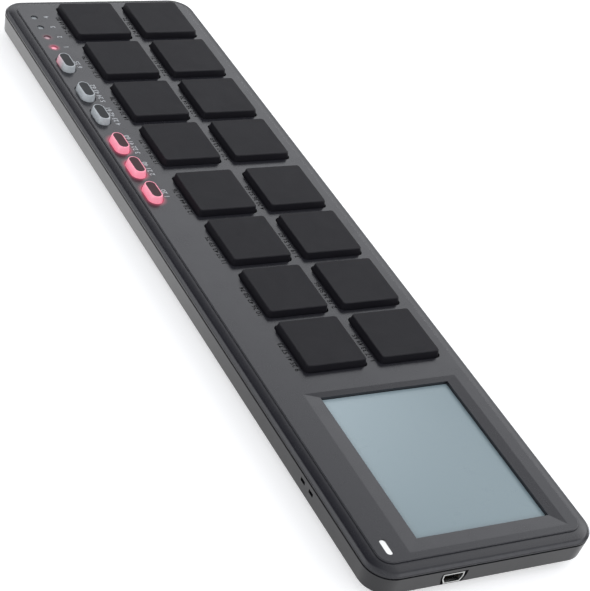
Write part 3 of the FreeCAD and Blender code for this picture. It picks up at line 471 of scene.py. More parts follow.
def surface_group():
    """Build the shared surface: fine grain, faint mottling, handling marks and rubbed edges."""
    name = "Moulded surface"
    if name in bpy.data.node_groups:
        return bpy.data.node_groups[name]
    group, given = new_group(
        name,
        {"Colour": COLOUR, "Worn colour": COLOUR, "Wear": NUMBER, "Mottle": NUMBER,
         "Grain scale": NUMBER, "Roughness": NUMBER, "Marks": NUMBER},
        {"Colour": COLOUR, "Roughness": NUMBER, "Grain": NUMBER})
    place = object_place(group)
    grain = noise(group, place, given["Grain scale"], 3, 0.6)
    broad = noise(group, place, 38, 4, 0.55)
    patches = noise(group, place, 420, 5, 0.7)
    smears = noise(group, place, 90, 6, 0.65, distortion=1.2)
    # Faint darker and lighter areas, with a share of the grain
    grain_share = 0.8
    fine = calculate(group, "SUBTRACT", grain, 0.5)
    uneven = calculate(group, "SUBTRACT", broad, 0.5)
    uneven = calculate(group, "MULTIPLY_ADD", fine, grain_share, uneven)
    factor = calculate(group, "MULTIPLY_ADD", uneven, given["Mottle"], 1)
    mottled = add_node(group, "ShaderNodeVectorMath", {0: given["Colour"], "Scale": factor},
                       operation="SCALE")
    # Rubbed edges: the marked faces, broken up by the patches
    edge = add_node(group, "ShaderNodeAttribute", attribute_name="edge").outputs["Fac"]
    rubbed = calculate(group, "MULTIPLY", edge, slope(group, patches, 0.42, 0.62))
    rubbed = calculate(group, "MULTIPLY", rubbed, given["Wear"])
    colour = mix_colours(group, rubbed, mottled.outputs["Vector"], given["Worn colour"])
    # Handling marks, and a little of the grain, change only the gloss
    grain_gloss = 0.12
    marks = calculate(group, "SUBTRACT", smears, 0.5)
    roughness = calculate(group, "MULTIPLY_ADD", marks, given["Marks"], given["Roughness"])
    roughness = calculate(group, "MULTIPLY_ADD", fine, grain_gloss, roughness)
    add_node(group, "NodeGroupOutput", {"Colour": colour, "Roughness": roughness, "Grain": grain})
    return group


def glow_group():
    """Build the shared glow: a mask that fades out round each of a row of rounded lights."""
    name = "Glow round lights"
    if name in bpy.data.node_groups:
        return bpy.data.node_groups[name]
    group, given = new_group(
        name,
        {"First X": NUMBER, "First Y": NUMBER, "Step": NUMBER, "Count": NUMBER,
         "Straight": NUMBER, "Radius": NUMBER, "Reach": NUMBER},
        {"Mask": NUMBER})
    x, y = object_axes(group)
    along = calculate(group, "SUBTRACT", x, given["First X"])
    across = calculate(group, "SUBTRACT", y, given["First Y"])
    start = calculate(group, "MULTIPLY", given["Step"], -0.5)
    halfway = calculate(group, "MULTIPLY", given["Step"], 0.5)
    # Fold the row onto its first light
    folded = calculate(group, "ABSOLUTE", calculate(group, "WRAP", along, halfway, start))
    beyond = calculate(group, "MAXIMUM", calculate(group, "SUBTRACT", folded, given["Straight"]), 0)
    square = calculate(group, "MULTIPLY_ADD", across, across, calculate(group, "MULTIPLY", beyond, beyond))
    distance = calculate(group, "SUBTRACT", calculate(group, "SQRT", square), given["Radius"])
    fade = slope(group, distance, 0, given["Reach"], 1, 0)
    fade = calculate(group, "MULTIPLY", fade, fade)
    # The folds go on for ever, so the row is cut off before its first light and after its last
    end = calculate(group, "MULTIPLY_ADD", given["Count"], given["Step"], start)
    ended = calculate(group, "LESS_THAN", along, end)
    started = calculate(group, "GREATER_THAN", along, start)
    mask = calculate(group, "MULTIPLY", fade, calculate(group, "MULTIPLY", ended, started))
    add_node(group, "NodeGroupOutput", {"Mask": mask})
    return group


def glow(tree, first_x, first_y, step, count, straight, radius, reach):
    """Return a mask that fades out over the reach round each light of a row."""
    values = {"First X": first_x, "First Y": first_y, "Step": step, "Count": count,
              "Straight": straight, "Radius": radius, "Reach": reach}
    return add_node(tree, "ShaderNodeGroup", values, node_tree=glow_group()).outputs["Mask"]


def window_glow(tree, windows, radius, reach):
    """Return a mask of the light of the first window and, faintly, of the second."""
    (first_x, y), (second_x, _) = window_places(windows)[:2]
    step = second_x - first_x
    bright = glow(tree, first_x, y, step, 1, 0, radius, reach)
    faint = glow(tree, second_x, y, step, 1, 0, radius, reach)
    return calculate(tree, "MULTIPLY_ADD", faint, windows.faint, bright)


def deck_glow(tree, settings):
    """Return a mask of the light on the deck round the lit buttons and the first two windows."""
    buttons = settings.buttons
    low, high = shrunk(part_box(BUTTONS[0]), buttons.flange)
    middle = (low + high) / 2
    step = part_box(BUTTONS[1])[0].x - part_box(BUTTONS[0])[0].x
    radius = (high.y - low.y) / 2
    straight = (high.x - low.x) / 2 - radius
    row = glow(tree, middle.x, middle.y, step, LIT_BUTTONS, straight, radius, buttons.glow_reach)
    # A window's light reaches less far over the deck than a button's, and is weaker
    reach = 0.7 * buttons.glow_reach
    share = 0.6
    spots = window_glow(tree, settings.windows, settings.windows.lens_radius, reach)
    return calculate(tree, "MULTIPLY_ADD", spots, share, row, clamp=True)


# Finishes


def moulded(name, colour, worn, wear, mottle, grain_scale, roughness, marks, bump, metallic=0,
            specular=0.5):
    """Make a material from the shared surface, with its own values and its bump in millimetres."""
    material = bpy.data.materials.new(name)
    material.use_nodes = True
    tree = material.node_tree
    surface = add_node(tree, "ShaderNodeGroup", {
        "Colour": (*colour, 1), "Worn colour": (*worn, 1), "Wear": wear, "Mottle": mottle,
        "Grain scale": grain_scale, "Roughness": roughness, "Marks": marks}, node_tree=surface_group())
    grain = add_node(tree, "ShaderNodeBump", {
        "Strength": 1.0, "Distance": bump * MM, "Height": surface.outputs["Grain"]})
    shader = tree.nodes["Principled BSDF"]
    tree.links.new(surface.outputs["Colour"], shader.inputs["Base Color"])
    tree.links.new(surface.outputs["Roughness"], shader.inputs["Roughness"])
    tree.links.new(grain.outputs["Normal"], shader.inputs["Normal"])
    shader.inputs["Metallic"].default_value = metallic
    shader.inputs["Specular IOR Level"].default_value = specular
    return material


def shine(material, mask, colour, strength):
    """Light the material in that colour where the mask is bright."""
    tree = material.node_tree
    shader = tree.nodes["Principled BSDF"]
    black = (0, 0, 0)
    tree.links.new(mix_colours(tree, mask, black, colour), shader.inputs["Emission Color"])
    shader.inputs["Emission Strength"].default_value = strength


def cover_plastic(settings):
    """Make the cover's satin plastic, with the light of the buttons and windows on it."""
    case = settings.case
    material = moulded("Cover plastic", case.plate_colour, case.worn_colour, wear=0.2, mottle=0.06,
                       grain_scale=4200, roughness=0.25, marks=0.12, bump=0.003)
    shine(material, deck_glow(material.node_tree, settings), settings.buttons.lit_colour, 0.45)
    return material


def tray_plastic(case):
    """Make the tray's plastic."""
    return moulded("Tray plastic", case.tray_colour, case.worn_colour, wear=0.35, mottle=0.08,
                   grain_scale=3000, roughness=0.32, marks=0.1, bump=0.004)


def pad_rubber(pads):
    """Make the pads' soft rubber."""
    return moulded("Pad rubber", pads.colour, pads.worn_colour, wear=0.55, mottle=0.12,
                   grain_scale=3600, roughness=0.5, marks=0.14, bump=0.006, specular=0.19)


def button_top(name, colour):
    """Make the dark printed top of a button."""
    return moulded(name, colour, colour, wear=0, mottle=0.5, grain_scale=1500, roughness=0.45,
                   marks=0.2, bump=0.01, specular=0.3)


def clear_plastic(name, colour):
    """Make the pale milky plastic of the buttons and windows; no light passes through it."""
    return moulded(name, colour, colour, wear=0, mottle=0.06, grain_scale=1800, roughness=0.28,
                   marks=0.12, bump=0.008)


def lit_plastic(name, colour, light, strength):
    """Make the milky plastic with a slightly uneven light in it."""
    material = clear_plastic(name, colour)
    tree = material.node_tree
    cloud = noise(tree, object_place(tree), 160, 2)
    shine(material, slope(tree, cloud, 0.3, 0.7, 0.85, 1), light, strength)
    return material


def corner_lit_plastic(buttons, middle):
    """Make the clear plastic of the button beside the lit window, with light in that corner."""
    material = clear_plastic("Clear button beside a light", buttons.clear_colour)
    tree = material.node_tree
    x, y = object_axes(tree)
    along = slope(tree, x, middle.x - 2.5 * MM, middle.x + 2.5 * MM)
    across = slope(tree, y, middle.y + 1 * MM, middle.y + 2.4 * MM)
    shine(material, calculate(tree, "MULTIPLY", along, across), buttons.lit_colour, 0.3)
    return material


def light_guide_plastic(settings):
    """Make the light guide's plastic: the middle of the first window is lit, the second faintly."""
    windows = settings.windows
    material = clear_plastic("Light guide", windows.clear_colour)
    light = window_glow(material.node_tree, windows, windows.core, 2 * windows.core)
    shine(material, light, settings.buttons.lit_colour, 1.0)
    return material


def touch_film(windows):
    """Make the touch panel's film, with a painted highlight that makes it a little paler towards its far
    corner behind.
    """
    material = moulded("Touch film", windows.panel_colour, windows.panel_colour, wear=0, mottle=0.03,
                       grain_scale=5200, roughness=0.3, marks=0.1, bump=0.004)
    tree = material.node_tree
    base = tree.nodes["Principled BSDF"].inputs["Base Color"]
    plain = base.links[0].from_socket
    low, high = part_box("touch_panel")
    x, y = object_axes(tree)
    # Painted highlight: the film is mixed halfway towards the pale colour, more so towards its far corner
    # behind
    corner = calculate(tree, "MULTIPLY", slope(tree, x, low.x, high.x), slope(tree, y, low.y, high.y))
    highlighted = mix_colours(tree, 0.5, plain, windows.pale_colour)
    tree.links.new(mix_colours(tree, corner, plain, highlighted), base)
    return material


def ink(name, colour, specular):
    """Make the ink of the printed numbers."""
    return moulded(name, colour, colour, wear=0, mottle=0.15, grain_scale=4000, roughness=0.6,
                   marks=0.1, bump=0.004, specular=specular)


def socket_steel():
    """Make the socket's bright steel."""
    return moulded("Socket steel", linear("c9cac8"), linear("e4e4e2"), wear=0.4, mottle=0.08,
                   grain_scale=1800, roughness=0.26, marks=0.12, bump=0.006, metallic=1)


def tongue_plastic():
    """Make the black plastic of the socket's tongue."""
    return moulded("Tongue plastic", linear("141416"), linear("2a2a2c"), wear=0.2, mottle=0.1,
                   grain_scale=2500, roughness=0.5, marks=0.1, bump=0.01)


def contact_gold():
    """Make the gold of the socket's contacts."""
    return moulded("Contact gold", linear("d8a441"), linear("f0cf86"), wear=0.5, mottle=0.1,
                   grain_scale=2500, roughness=0.24, marks=0.1, bump=0.005, metallic=1)


def foot_rubber():
    """Make the feet's dull rubber."""
    return moulded("Foot rubber", linear("1c1c1e"), linear("343436"), wear=0.6, mottle=0.15,
                   grain_scale=2400, roughness=0.75, marks=0.12, bump=0.03)


def screw_steel():
    """Make the screws' darkened steel."""
    return moulded("Screw steel", linear("4a4a4c"), linear("8c8c8e"), wear=0.7, mottle=0.15,
                   grain_scale=2600, roughness=0.34, marks=0.14, bump=0.008, metallic=1)


def solder_mask():
    """Make the boards' green coating."""
    return moulded("Solder mask", linear("1c5a34"), linear("2c7446"), wear=0.3, mottle=0.35,
                   grain_scale=900, roughness=0.35, marks=0.1, bump=0.02)


def sensor_film():
    """Make the amber film of the sensor sheet and the flat cable."""
    return moulded("Sensor film", linear("b9a06a"), linear("cdb987"), wear=0.1, mottle=0.1,
                   grain_scale=1500, roughness=0.4, marks=0.12, bump=0.01)


def chip_body():
    """Make the chips' black resin."""
    return moulded("Chip body", linear("1a1a1c"), linear("3a3a3c"), wear=0.2, mottle=0.1,
                   grain_scale=3000, roughness=0.6, marks=0.08, bump=0.02)


def connector_body():
    """Make the connector's ivory plastic."""
    return moulded("Connector body", linear("d9d2bd"), linear("eae6da"), wear=0.1, mottle=0.06,
                   grain_scale=2500, roughness=0.5, marks=0.08, bump=0.01)


def switch_metal():
    """Make the switches' thin metal."""
    return moulded("Switch metal", linear("b8b9bb"), linear("dcdcdc"), wear=0.3, mottle=0.1,
                   grain_scale=1800, roughness=0.3, marks=0.1, bump=0.01, metallic=1)


def lamp_body():
    """Make the pale plastic of the small lamps on the boards."""
    return moulded("Lamp body", linear("e8e4d4"), linear("f4f2ea"), wear=0.1, mottle=0.05,
                   grain_scale=2600, roughness=0.35, marks=0.06, bump=0.006)


# Operators


class PieceOperator:
    """What the operators share."""

    bl_options = {"REGISTER", "UNDO"}

    @staticmethod
    def settings(context):
        """Return the user's settings."""
        return context.scene.pad_controller


class AddCover(PieceOperator, bpy.types.Operator):
    """Model the upper case half with its stepped rim and every opening"""

    bl_idname = "pad_controller.add_cover"
    bl_label = "Cover"

    def execute(self, context):
        settings = self.settings(context)
        bm = subtract(self.shell(settings.case), self.openings(settings))
        self.fold(bm, settings.windows)
        boss_radius = 2.4 * MM
        for x, y, foot_z, top_z in self.bosses(settings.case):
            face = add_disc(bm, x, y, top_z, boss_radius, 24, down=True)
            move_on(bm, face, top_z - foot_z)
        plastic = cover_plastic(settings)
        make_piece("cover", bm, CASE_BODY, [plastic], ["upper_case"], crease=24)
        return {"FINISHED"}

    @staticmethod
    def shell(case):
        """Model the cover without its openings."""
        low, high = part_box("upper_case")
        seam_z = high.z - case.rise
        bm = bmesh.new()
        top = add_outline(bm, low, high, seam_z + case.seam_edge, case.corner, case.corner_steps)
        top = move_on(bm, top, case.side)
        # The shoulder: an arc, a slant, and a wider arc that runs into the sloping rim
        slant_angle = 45
        rim_angle = 77
        top = round_over(bm, top, case.shoulder, 4, last=slant_angle)
        top = move_on(bm, top, case.slant, case.slant)
        top = round_over(bm, top, case.brow, 5, first=slant_angle, last=rim_angle)
        # The rim up to its ledge, the ledge, and the plate's rounded edge
        height = top.verts[0].co.z
        reach = min(vert.co.x for vert in top.verts) - low.x
        ledge_z = high.z - case.ledge_depth - case.ledge_fall
        top = move_on(bm, top, ledge_z - height, case.ledge_outer - reach)
        top = move_on(bm, top, case.ledge_fall, case.ledge_inner - case.ledge_outer)
        top = move_on(bm, top, case.ledge_depth - case.plate_edge)
        round_over(bm, top, case.plate_edge, 4)
        # Break the lower edge, then hollow the underside up to the deck
        base = turn(min(bm.faces, key=lambda face: face.calc_center_median().z), down=True)
        base = move_on(bm, base, case.seam_edge, case.seam_inset)
        base = move_on(bm, base, 0, case.lip - case.seam_inset)
        move_on(bm, base, case.deck - case.rise)
        return bm

    @staticmethod
    def openings(settings):
        """Model everything that is cut out of the deck."""
        bm = bmesh.new()
        edge = settings.case.hole_edge
        deck_z = deck_height()
        # The cutters start a little above the deck and end a little below its underside
        above = 0.2 * MM
        below = 1 * MM
        under_z = deck_z - settings.case.deck - below

        def sink(low, high, radius, steps):
            """Start wide above the deck, come in over the broken edge, then go straight down."""
            wide = above + edge
            low = Vector((low[0] - wide, low[1] - wide))
            high = Vector((high[0] + wide, high[1] + wide))
            face = add_outline(bm, low, high, deck_z + 2 * above, radius + wide, steps, down=True)
            face = move_on(bm, face, above)
            face = move_on(bm, face, wide, wide)
            move_on(bm, face, deck_z - edge - under_z)

        pads = settings.pads
        for node in PADS:
            low, high = shrunk(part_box(node), pads.flange - pads.clearance)
            sink(low, high, pads.corner + pads.clearance, 5)
        buttons = settings.buttons
        for node in BUTTONS:
            low, high = shrunk(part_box(node), buttons.flange - buttons.clearance)
            sink(low, high, (high.y - low.y) / 2 * ROUND, 8)
        windows = settings.windows
        low, high = shrunk(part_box("power_lens"), windows.lens_flange)
        sink(low, high, (high.y - low.y) / 2 * ROUND, 8)
        for x, y in window_places(windows):
            face = add_disc(bm, x, y, deck_z + above, windows.lens_radius, 24, down=True)
            move_on(bm, face, deck_z + above - under_z)
        # The touch panel's window, and the slope down to it
        low, high = shrunk(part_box("touch_panel"), -windows.panel_gap)
        foot_z = deck_z - windows.frame_drop
        window = add_outline(bm, low, high, under_z, 0, 0)
        window = move_on(bm, window, foot_z - under_z)
        window = move_on(bm, window, windows.frame_drop)
        for vert in window.verts:
            near = vert.co.x < (low.x + high.x) / 2
            front = vert.co.y < (low.y + high.y) / 2
            vert.co.x += -windows.frame_near if near else windows.frame_far
            vert.co.y += -windows.frame_front if front else windows.frame_rear
        move_on(bm, window, above)
        return bm

    @staticmethod
    def fold(bm, windows):
        """Make the gentle slopes round the touch panel meet in clear folds."""
        spare = 0.1 * MM
        low, high = shrunk(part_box("touch_panel"), -windows.panel_gap - spare)
        low_x = low.x - windows.frame_near
        high_x = high.x + windows.frame_far
        low_y = low.y - windows.frame_front
        high_y = high.y + windows.frame_rear
        foot_z = deck_height() - windows.frame_drop - spare
        for edge in bm.edges:
            x, y, z = (edge.verts[0].co + edge.verts[1].co) / 2
            if low_x < x < high_x and low_y < y < high_y and z > foot_z:
                edge.smooth = False

    @staticmethod
    def bosses(case):
        """Return the screw bosses under the deck: x, y, the foot's height and the top's."""
        top_z = deck_height() - case.deck + OVERLAP
        places = []
        for low, high in solids_of("case_screws"):
            middle = (low + high) / 2
            board = "control_board" if middle.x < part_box("control_board")[1].x else "pad_board"
            places.append((middle.x, middle.y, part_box(board)[0].z, top_z))
        return places


class AddTray(PieceOperator, bpy.types.Operator):
    """Round the lower case half's outer edges"""

    bl_idname = "pad_controller.add_tray"
    bl_label = "Tray"

    def execute(self, context):
        case = self.settings(context).case
        low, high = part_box("lower_case")
        bm = cad_copy("lower_case")
        # The edges round the flat bottom, and those where the sloping belly meets the sides
        belly_height = 2.9 * MM
        near = 0.01 * MM
        least_bend = math.radians(10)
        chosen = []
        for edge in bm.edges:
            for level in (low.z, low.z + belly_height):
                flat = all(abs(vert.co.z - level) < near for vert in edge.verts)
                if flat and edge.calc_face_angle(0) > least_bend and self.outside(edge, low, high):
                    chosen.append(edge)
        bmesh.ops.bevel(bm, geom=chosen, offset=case.base_edge, offset_type="OFFSET", segments=4,
                        profile=0.5, affect="EDGES", material=-1, clamp_overlap=True)
        plastic = tray_plastic(case)
        make_piece("tray", bm, CASE_BODY, [plastic], ["lower_case"], crease=24)
        return {"FINISHED"}

    @staticmethod
    def outside(edge, low, high):
        """Say whether the edge lies on the tray's outside, not far in from its outline."""
        reach = 7 * MM
        middle = (edge.verts[0].co + edge.verts[1].co) / 2
        gap_x = min(middle.x - low.x, high.x - middle.x)
        gap_y = min(middle.y - low.y, high.y - middle.y)
        return min(gap_x, gap_y) < reach


class AddPads(PieceOperator, bpy.types.Operator):
    """Model the sixteen rubber pads"""

    bl_idname = "pad_controller.add_pads"
    bl_label = "Pads"

    def execute(self, context):
        pads = self.settings(context).pads
        rubber = pad_rubber(pads)
        deck_z = deck_height()
        for node in PADS:
            low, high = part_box(node)
            flange_top = low.z + pads.flange_height
            bm = bmesh.new()
            flange = add_outline(bm, low, high, low.z, 2 * pads.flange, 1)
            move_on(bm, flange, pads.flange_height)
            inner_low, inner_high = shrunk((low, high), pads.flange)
            top = add_outline(bm, inner_low, inner_high, flange_top - OVERLAP, pads.corner, 6)
            top = move_on(bm, top, deck_z - flange_top + OVERLAP)
            height = high.z - deck_z
            lean = pads.taper * (height - pads.edge) / height
            top = move_on(bm, top, height - pads.edge, lean)
            round_over(bm, top, pads.edge, 4)
            make_piece(f"{node}_rubber", bm, f"{node}_body", [rubber], [node],
                       edge_tilt=(0.35, 0.97))
        return {"FINISHED"}


class AddButtons(PieceOperator, bpy.types.Operator):
    """Model the six clear buttons with their dark tops"""

    bl_idname = "pad_controller.add_buttons"
    bl_label = "Buttons"

    def execute(self, context):
        buttons = self.settings(context).buttons
        plain = [clear_plastic("Clear button", buttons.clear_colour),
                 button_top("Button top", buttons.top_colour)]
        lit = [lit_plastic("Lit button", buttons.lit_body_colour, buttons.lit_colour, 0.54),
               button_top("Lit button top", buttons.lit_top_colour)]
        for index, node in enumerate(BUTTONS):
            low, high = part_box(node)
            materials = lit if index < LIT_BUTTONS else plain
            if node == BUTTONS[-1]:
                materials = [corner_lit_plastic(buttons, (low + high) / 2), plain[1]]
            bm = self.cap(buttons, low, high)
            make_piece(f"{node}_cap", bm, f"{node}_body", materials, [node])
        return {"FINISHED"}

    @staticmethod
    def cap(buttons, low, high):
        """Model one button between the two corners: flange, leaning sides, clear rim and sunk top."""
        deck_z = deck_height()
        bm = bmesh.new()
        add_block(bm, low, (high.x, high.y, low.z + buttons.flange_height))
        inner_low, inner_high = shrunk((low, high), buttons.flange)
        base_z = low.z + buttons.flange_height - OVERLAP
        radius = (inner_high.y - inner_low.y) / 2 * ROUND
        face = add_outline(bm, inner_low, inner_high, base_z, radius, 10)
        face = move_on(bm, face, deck_z - base_z)
        face = move_on(bm, face, high.z - buttons.edge - deck_z, buttons.taper)
        face = round_over(bm, face, buttons.edge, 4)
        face = move_on(bm, face, 0, buttons.rim - buttons.edge)
        sunk_lean = 0.02 * MM
        face = move_on(bm, face, -buttons.sink, sunk_lean)
        face.material_index = 1
        return bm


class AddWindows(PieceOperator, bpy.types.Operator):
    """Finish the touch panel, the round windows and the power window"""

    bl_idname = "pad_controller.add_windows"
    bl_label = "Windows"

    def execute(self, context):
        settings = self.settings(context)
        windows = settings.windows
        finish_nodes(touch_film(windows), "touch_panel")
        finish_nodes(light_guide_plastic(settings), "light_guide")
        power = lit_plastic("Power window", windows.clear_colour, windows.power_colour, 0.75)
        finish_nodes(power, "power_lens")
        return {"FINISHED"}


class AddLabels(PieceOperator, bpy.types.Operator):
    """Print plain numbers beside the pads, the buttons and the windows"""

    bl_idname = "pad_controller.add_labels"
    bl_label = "Numbers"

    def execute(self, context):
        settings = self.settings(context)
        labels = settings.labels
        # A pad's numbers start a little in from its corner, behind it
        pad_inset = 1.2 * MM
        pad_away = 2.1 * MM
        dark = bmesh.new()
        for number, node in enumerate(PADS, start=1):
            low, high = shrunk(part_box(node), settings.pads.flange)
            words = self.row(number, len(PADS), PAD_NUMBERS)
            self.write(dark, words, labels.pad_size, low.x + pad_inset, high.y + pad_away, labels.height)
        button_step = 19
        pale = bmesh.new()
        for number, (node, count) in enumerate(zip(BUTTONS, BUTTON_NUMBERS), start=1):
            low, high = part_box(node)
            x = (low.x + high.x) / 2
            y = (low.y + high.y) / 2 - labels.away
            words = self.row(number, button_step, count)
            self.write(pale, words, labels.button_size, x, y, labels.height, "CENTER")
        for number, (x, y) in enumerate(window_places(settings.windows), start=1):
            self.write(pale, str(number), labels.button_size, x, y - labels.away, labels.height, "CENTER")
        inks = (("pad_numbers", dark, labels.dark, 0.1), ("button_numbers", pale, labels.pale, 0.5))
        for name, bm, colour, specular in inks:
            make_piece(name, bm, CASE_BODY, [ink(f"Ink {name}", colour, specular)])
        return {"FINISHED"}

    @staticmethod
    def row(first, step, count):
        """Return a row of plain numbers, each one step above the last."""
        return " ".join(str(first + step * index) for index in range(count))

    @staticmethod
    def write(bm, words, size, x, y, height, align="LEFT"):
        """Add the words to the mesh as thin print on the deck, from or around x and centred on y."""
        boldness = 0.015
        curve = bpy.data.curves.new("print", "FONT")
        curve.body = words
        curve.size = size
        curve.align_x = align
        curve.align_y = "CENTER"
        curve.offset = boldness * size
        curve.extrude = height / 2
        curve.resolution_u = 3
        item = add_object("print", curve)
        bpy.context.view_layer.update()
        mesh = bpy.data.meshes.new_from_object(item.evaluated_get(bpy.context.evaluated_depsgraph_get()))
        mesh.transform(Matrix.Translation((x, y, deck_height())))
        bm.from_mesh(mesh)
        bpy.data.objects.remove(item)
        bpy.data.curves.remove(curve)
        bpy.data.meshes.remove(mesh)


class AddSocket(PieceOperator, bpy.types.Operator):
    """Finish the socket and add the contacts on its tongue"""

    bl_idname = "pad_controller.add_socket"
    bl_label = "Socket"

    def execute(self, context):
        finish_nodes(socket_steel(), "usb_socket")
        finish_nodes(tongue_plastic(), "usb_tongue")
        low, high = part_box("usb_tongue")
        middle = (low + high) / 2
        # Five contacts above the tongue and five below, from near its tip
        pitch = 0.8 * MM
        off_middle = 0.6 * MM
        start_x = low.x + 0.4 * MM
        end_x = low.x + 4.2 * MM
        half_width = 0.17 * MM
        half_height = 0.05 * MM
        bm = bmesh.new()
        for index in range(-2, 3):
            y = middle.y + index * pitch
            for z in (middle.z - off_middle, middle.z + off_middle):
                add_block(bm, (start_x, y - half_width, z - half_height),
                          (end_x, y + half_width, z + half_height))
        make_piece("socket_contacts", bm, CASE_BODY, [contact_gold()])
        return {"FINISHED"}


class AddFeet(PieceOperator, bpy.types.Operator):
    """Model the four rubber feet with rounded edges and a shallow groove"""

    bl_idname = "pad_controller.add_feet"
    bl_label = "Feet"

    def execute(self, context):
        rubber = foot_rubber()
        edge = 0.3 * MM
        outer_land = 0.7 * MM
        groove = 0.15 * MM
        groove_floor = 0.35 * MM
        for node in FEET:
            low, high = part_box(node)
            middle = (low + high) / 2
            bm = bmesh.new()
            face = add_disc(bm, middle.x, middle.y, high.z, (high.x - low.x) / 2, 48, down=True)
            face = move_on(bm, face, high.z - low.z - edge)
            face = round_over(bm, face, edge, 4)
            face = move_on(bm, face, 0, outer_land)
            face = move_on(bm, face, -groove, groove)
            face = move_on(bm, face, 0, groove_floor)
            move_on(bm, face, groove, groove)
            make_piece(f"{node}_rubber", bm, CASE_BODY, [rubber], [node])
        return {"FINISHED"}


class AddScrews(PieceOperator, bpy.types.Operator):
    """Model the case screws with rounded heads and cross recesses"""

    bl_idname = "pad_controller.add_screws"
    bl_label = "Screws"

    def execute(self, context):
        head_height = 1.6 * MM
        shank_radius = 1.2 * MM
        # The head's crown is a flattened arc
        crown = 0.7 * MM
        crown_run = 1.1 * MM
        # The cross recess: half its length, half its width, its depth and the cutter's start
        arm = 1.15 * MM
        half_width = 0.28 * MM
        depth = 0.8 * MM
        below = 0.5 * MM
        blanks = bmesh.new()
        crosses = bmesh.new()
        for low, high in solids_of("case_screws"):
            middle = (low + high) / 2
            seat = low.z + head_height
            face = add_disc(blanks, middle.x, middle.y, high.z, shank_radius, 24, down=True)
            move_on(blanks, face, high.z - seat)
            face = add_disc(blanks, middle.x, middle.y, seat, (high.x - low.x) / 2, 32, down=True)
            face = move_on(blanks, face, head_height - crown)
            round_over(blanks, face, crown, 5, run=crown_run)
            for reach_x, reach_y in ((arm, half_width), (half_width, arm)):
                add_block(crosses, (middle.x - reach_x, middle.y - reach_y, low.z - below),
                          (middle.x + reach_x, middle.y + reach_y, low.z + depth))
        bm = subtract(blanks, crosses)
        make_piece("screws", bm, CASE_BODY, [screw_steel()], ["case_screws"])
        return {"FINISHED"}


class FinishInside(PieceOperator, bpy.types.Operator):
    """Give the boards and what they carry their own finishes"""

    bl_idname = "pad_controller.finish_inside"
    bl_label = "Inside"

    def execute(self, context):
        finish_nodes(solder_mask(), "pad_board", "control_board", "touch_board")
        finish_nodes(sensor_film(), "sensor_sheet", "board_cable")
        finish_nodes(chip_body(), "main_chip", "scan_chips")
        finish_nodes(connector_body(), "touch_connector")
        finish_nodes(switch_metal(), "tact_switches")
        finish_nodes(lamp_body(), "led_chips", "power_led")
        return {"FINISHED"}


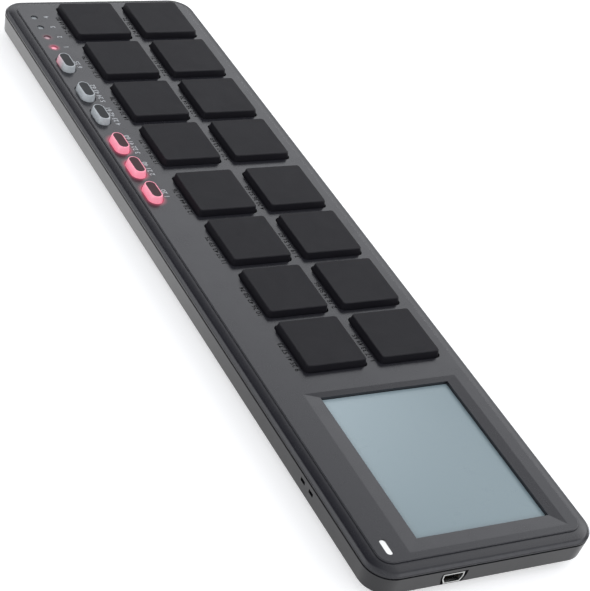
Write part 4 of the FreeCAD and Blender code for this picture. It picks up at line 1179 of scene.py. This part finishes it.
class AddStage(PieceOperator, bpy.types.Operator):
    """Set up the floor, the soft light, the white surroundings and the camera"""

    bl_idname = "pad_controller.add_stage"
    bl_label = "Stage"

    def execute(self, context):
        self.floor()
        self.surroundings(context.scene)
        self.side_light()
        self.camera(context.scene)
        return {"FINISHED"}

    @staticmethod
    def floor():
        """Lay a white floor that keeps the shadow."""
        half_width = 6
        bm = bmesh.new()
        bmesh.ops.create_grid(bm, x_segments=1, y_segments=1, size=half_width)
        floor = add_object("floor", mesh_from("floor", bm))
        material = bpy.data.materials.new("Floor")
        material.use_nodes = True
        floor.data.materials.append(material)
        tree = material.node_tree
        tree.nodes.clear()
        rays = add_node(tree, "ShaderNodeLightPath").outputs
        mirrored = calculate(tree, "MAXIMUM", rays["Is Glossy Ray"], rays["Is Transmission Ray"])
        camera_glow = 0.45
        seen = calculate(tree, "MULTIPLY", rays["Is Camera Ray"], camera_glow)
        # In gloss the floor is dimmer beside the touch panel and grows bright beside the pads
        along, _ = object_axes(tree)
        gloss_glow = slope(tree, along, -90 * MM, 40 * MM, 0.58, 1.47, smooth=True)
        strength = calculate(tree, "MULTIPLY_ADD", mirrored, gloss_glow, seen)
        grey = slope(tree, mirrored, 0, 1, 0.82, 0.52)
        paint = add_node(tree, "ShaderNodeBsdfDiffuse", {"Color": grey})
        light = add_node(tree, "ShaderNodeEmission", {"Color": (1, 1, 1, 1), "Strength": strength})
        both = add_node(tree, "ShaderNodeAddShader", {0: paint.outputs[0], 1: light.outputs[0]})
        add_node(tree, "ShaderNodeOutputMaterial", {"Surface": both.outputs[0]})

    @staticmethod
    def surroundings(scene):
        """Make the surroundings white to look at, with a studio's bright and dark parts for gloss."""
        world = bpy.data.worlds.new("Studio")
        scene.world = world
        world.use_nodes = True
        tree = world.node_tree
        tree.nodes.clear()
        direction = add_node(tree, "ShaderNodeTexCoord").outputs["Generated"]
        height = add_node(tree, "ShaderNodeSeparateXYZ", {0: direction}).outputs["Z"]
        # Brightness from the horizon, at 0, to straight up, at 1, as a share of the brightest
        brightest = 2.2
        levels = ((0.0, 0.05), (0.22, 0.2), (0.44, 1.0), (0.59, 1.0), (0.63, 0.47), (0.72, 0.4),
                  (0.9, 0.38))
        ramp = add_node(tree, "ShaderNodeValToRGB", {"Fac": height})
        while len(ramp.color_ramp.elements) < len(levels):
            ramp.color_ramp.elements.new(0.5)
        for element, (place, level) in zip(ramp.color_ramp.elements, levels):
            element.position = place
            element.color = (level, level, level, 1)
        bright = calculate(tree, "MULTIPLY", ramp.outputs["Color"], brightest)
        # A round part of the ceiling that no light reaches, from its rim to its middle
        dark_side = Vector((0.6, 0.05, 0.8)).normalized()
        towards = add_node(tree, "ShaderNodeVectorMath", {0: direction, 1: dark_side},
                           operation="DOT_PRODUCT").outputs["Value"]
        dim = slope(tree, towards, 0.82, 0.97, 1, 0.05, smooth=True)
        soft = add_node(tree, "ShaderNodeBackground", {
            "Color": (0.95, 0.965, 1, 1), "Strength": calculate(tree, "MULTIPLY", bright, dim)})
        white = add_node(tree, "ShaderNodeBackground", {"Color": (1, 1, 1, 1), "Strength": 1})
        seen = add_node(tree, "ShaderNodeLightPath").outputs["Is Camera Ray"]
        both = add_node(tree, "ShaderNodeMixShader", {0: seen, 1: soft.outputs[0], 2: white.outputs[0]})
        add_node(tree, "ShaderNodeOutputWorld", {"Surface": both.outputs[0]})

    @staticmethod
    def side_light():
        """Hang a square soft light in front, turned towards the object."""
        place = Vector((0.1, -1.0, 0.9))
        light = bpy.data.lights.new("Side light", "AREA")
        light.size = 0.8
        light.energy = 1.5
        item = add_object("Side light", light)
        item.location = place
        item.rotation_euler = (-place).to_track_quat("-Z", "Y").to_euler()

    @staticmethod
    def camera(scene):
        """Stand the camera where the photograph was taken from, turned as it was."""
        # The picture's right and down in the frame, and the camera's place, fitted to the object
        right = Vector((-0.43614, -0.86538, 0.24679))
        down = Vector((-0.61630, 0.08741, -0.78265))
        forward = right.cross(down)
        place = Vector((-0.481124, 0.341007, 0.403009))
        axes = Matrix((right, -down, -forward)).transposed()
        data = bpy.data.cameras.new("Camera")
        data.sensor_fit = "HORIZONTAL"
        data.sensor_width = 36
        focal_pixels = 1987.79
        image_width = 590
        data.lens = focal_pixels * data.sensor_width / image_width
        data.clip_start = 0.01
        item = add_object("Camera", data)
        item.matrix_world = Matrix.Translation(place) @ axes.to_4x4()
        scene.camera = item


# The panel, and the start


class ControllerPanel(bpy.types.Panel):
    """Lists the pieces of the pad controller"""

    bl_idname = "VIEW3D_PT_pad_controller"
    bl_label = "Pad controller"
    bl_space_type = "VIEW_3D"
    bl_region_type = "UI"
    bl_category = "Pad controller"

    def draw(self, context):
        """Draw one button for each piece."""
        for operator in OPERATORS:
            self.layout.operator(operator.bl_idname)


SETTINGS = (CaseSettings, PadSettings, ButtonSettings, WindowSettings, LabelSettings, ControllerSettings)
OPERATORS = (AddCover, AddTray, AddPads, AddButtons, AddWindows, AddLabels, AddSocket, AddFeet,
             AddScrews, FinishInside, AddStage)


def register():
    """Register the settings, the operators and the panel."""
    for item in (*SETTINGS, *OPERATORS, ControllerPanel):
        bpy.utils.register_class(item)
    bpy.types.Scene.pad_controller = PointerProperty(type=ControllerSettings)


def unregister():
    """Take them away again."""
    del bpy.types.Scene.pad_controller
    for item in reversed((*SETTINGS, *OPERATORS, ControllerPanel)):
        bpy.utils.unregister_class(item)


def main():
    """Make every piece."""
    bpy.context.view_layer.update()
    register()
    for operator in OPERATORS:
        group, name = operator.bl_idname.split(".")
        getattr(getattr(bpy.ops, group), name)()
    bpy.context.scene.view_settings.view_transform = "Standard"


if __name__ == "__main__":
    main()
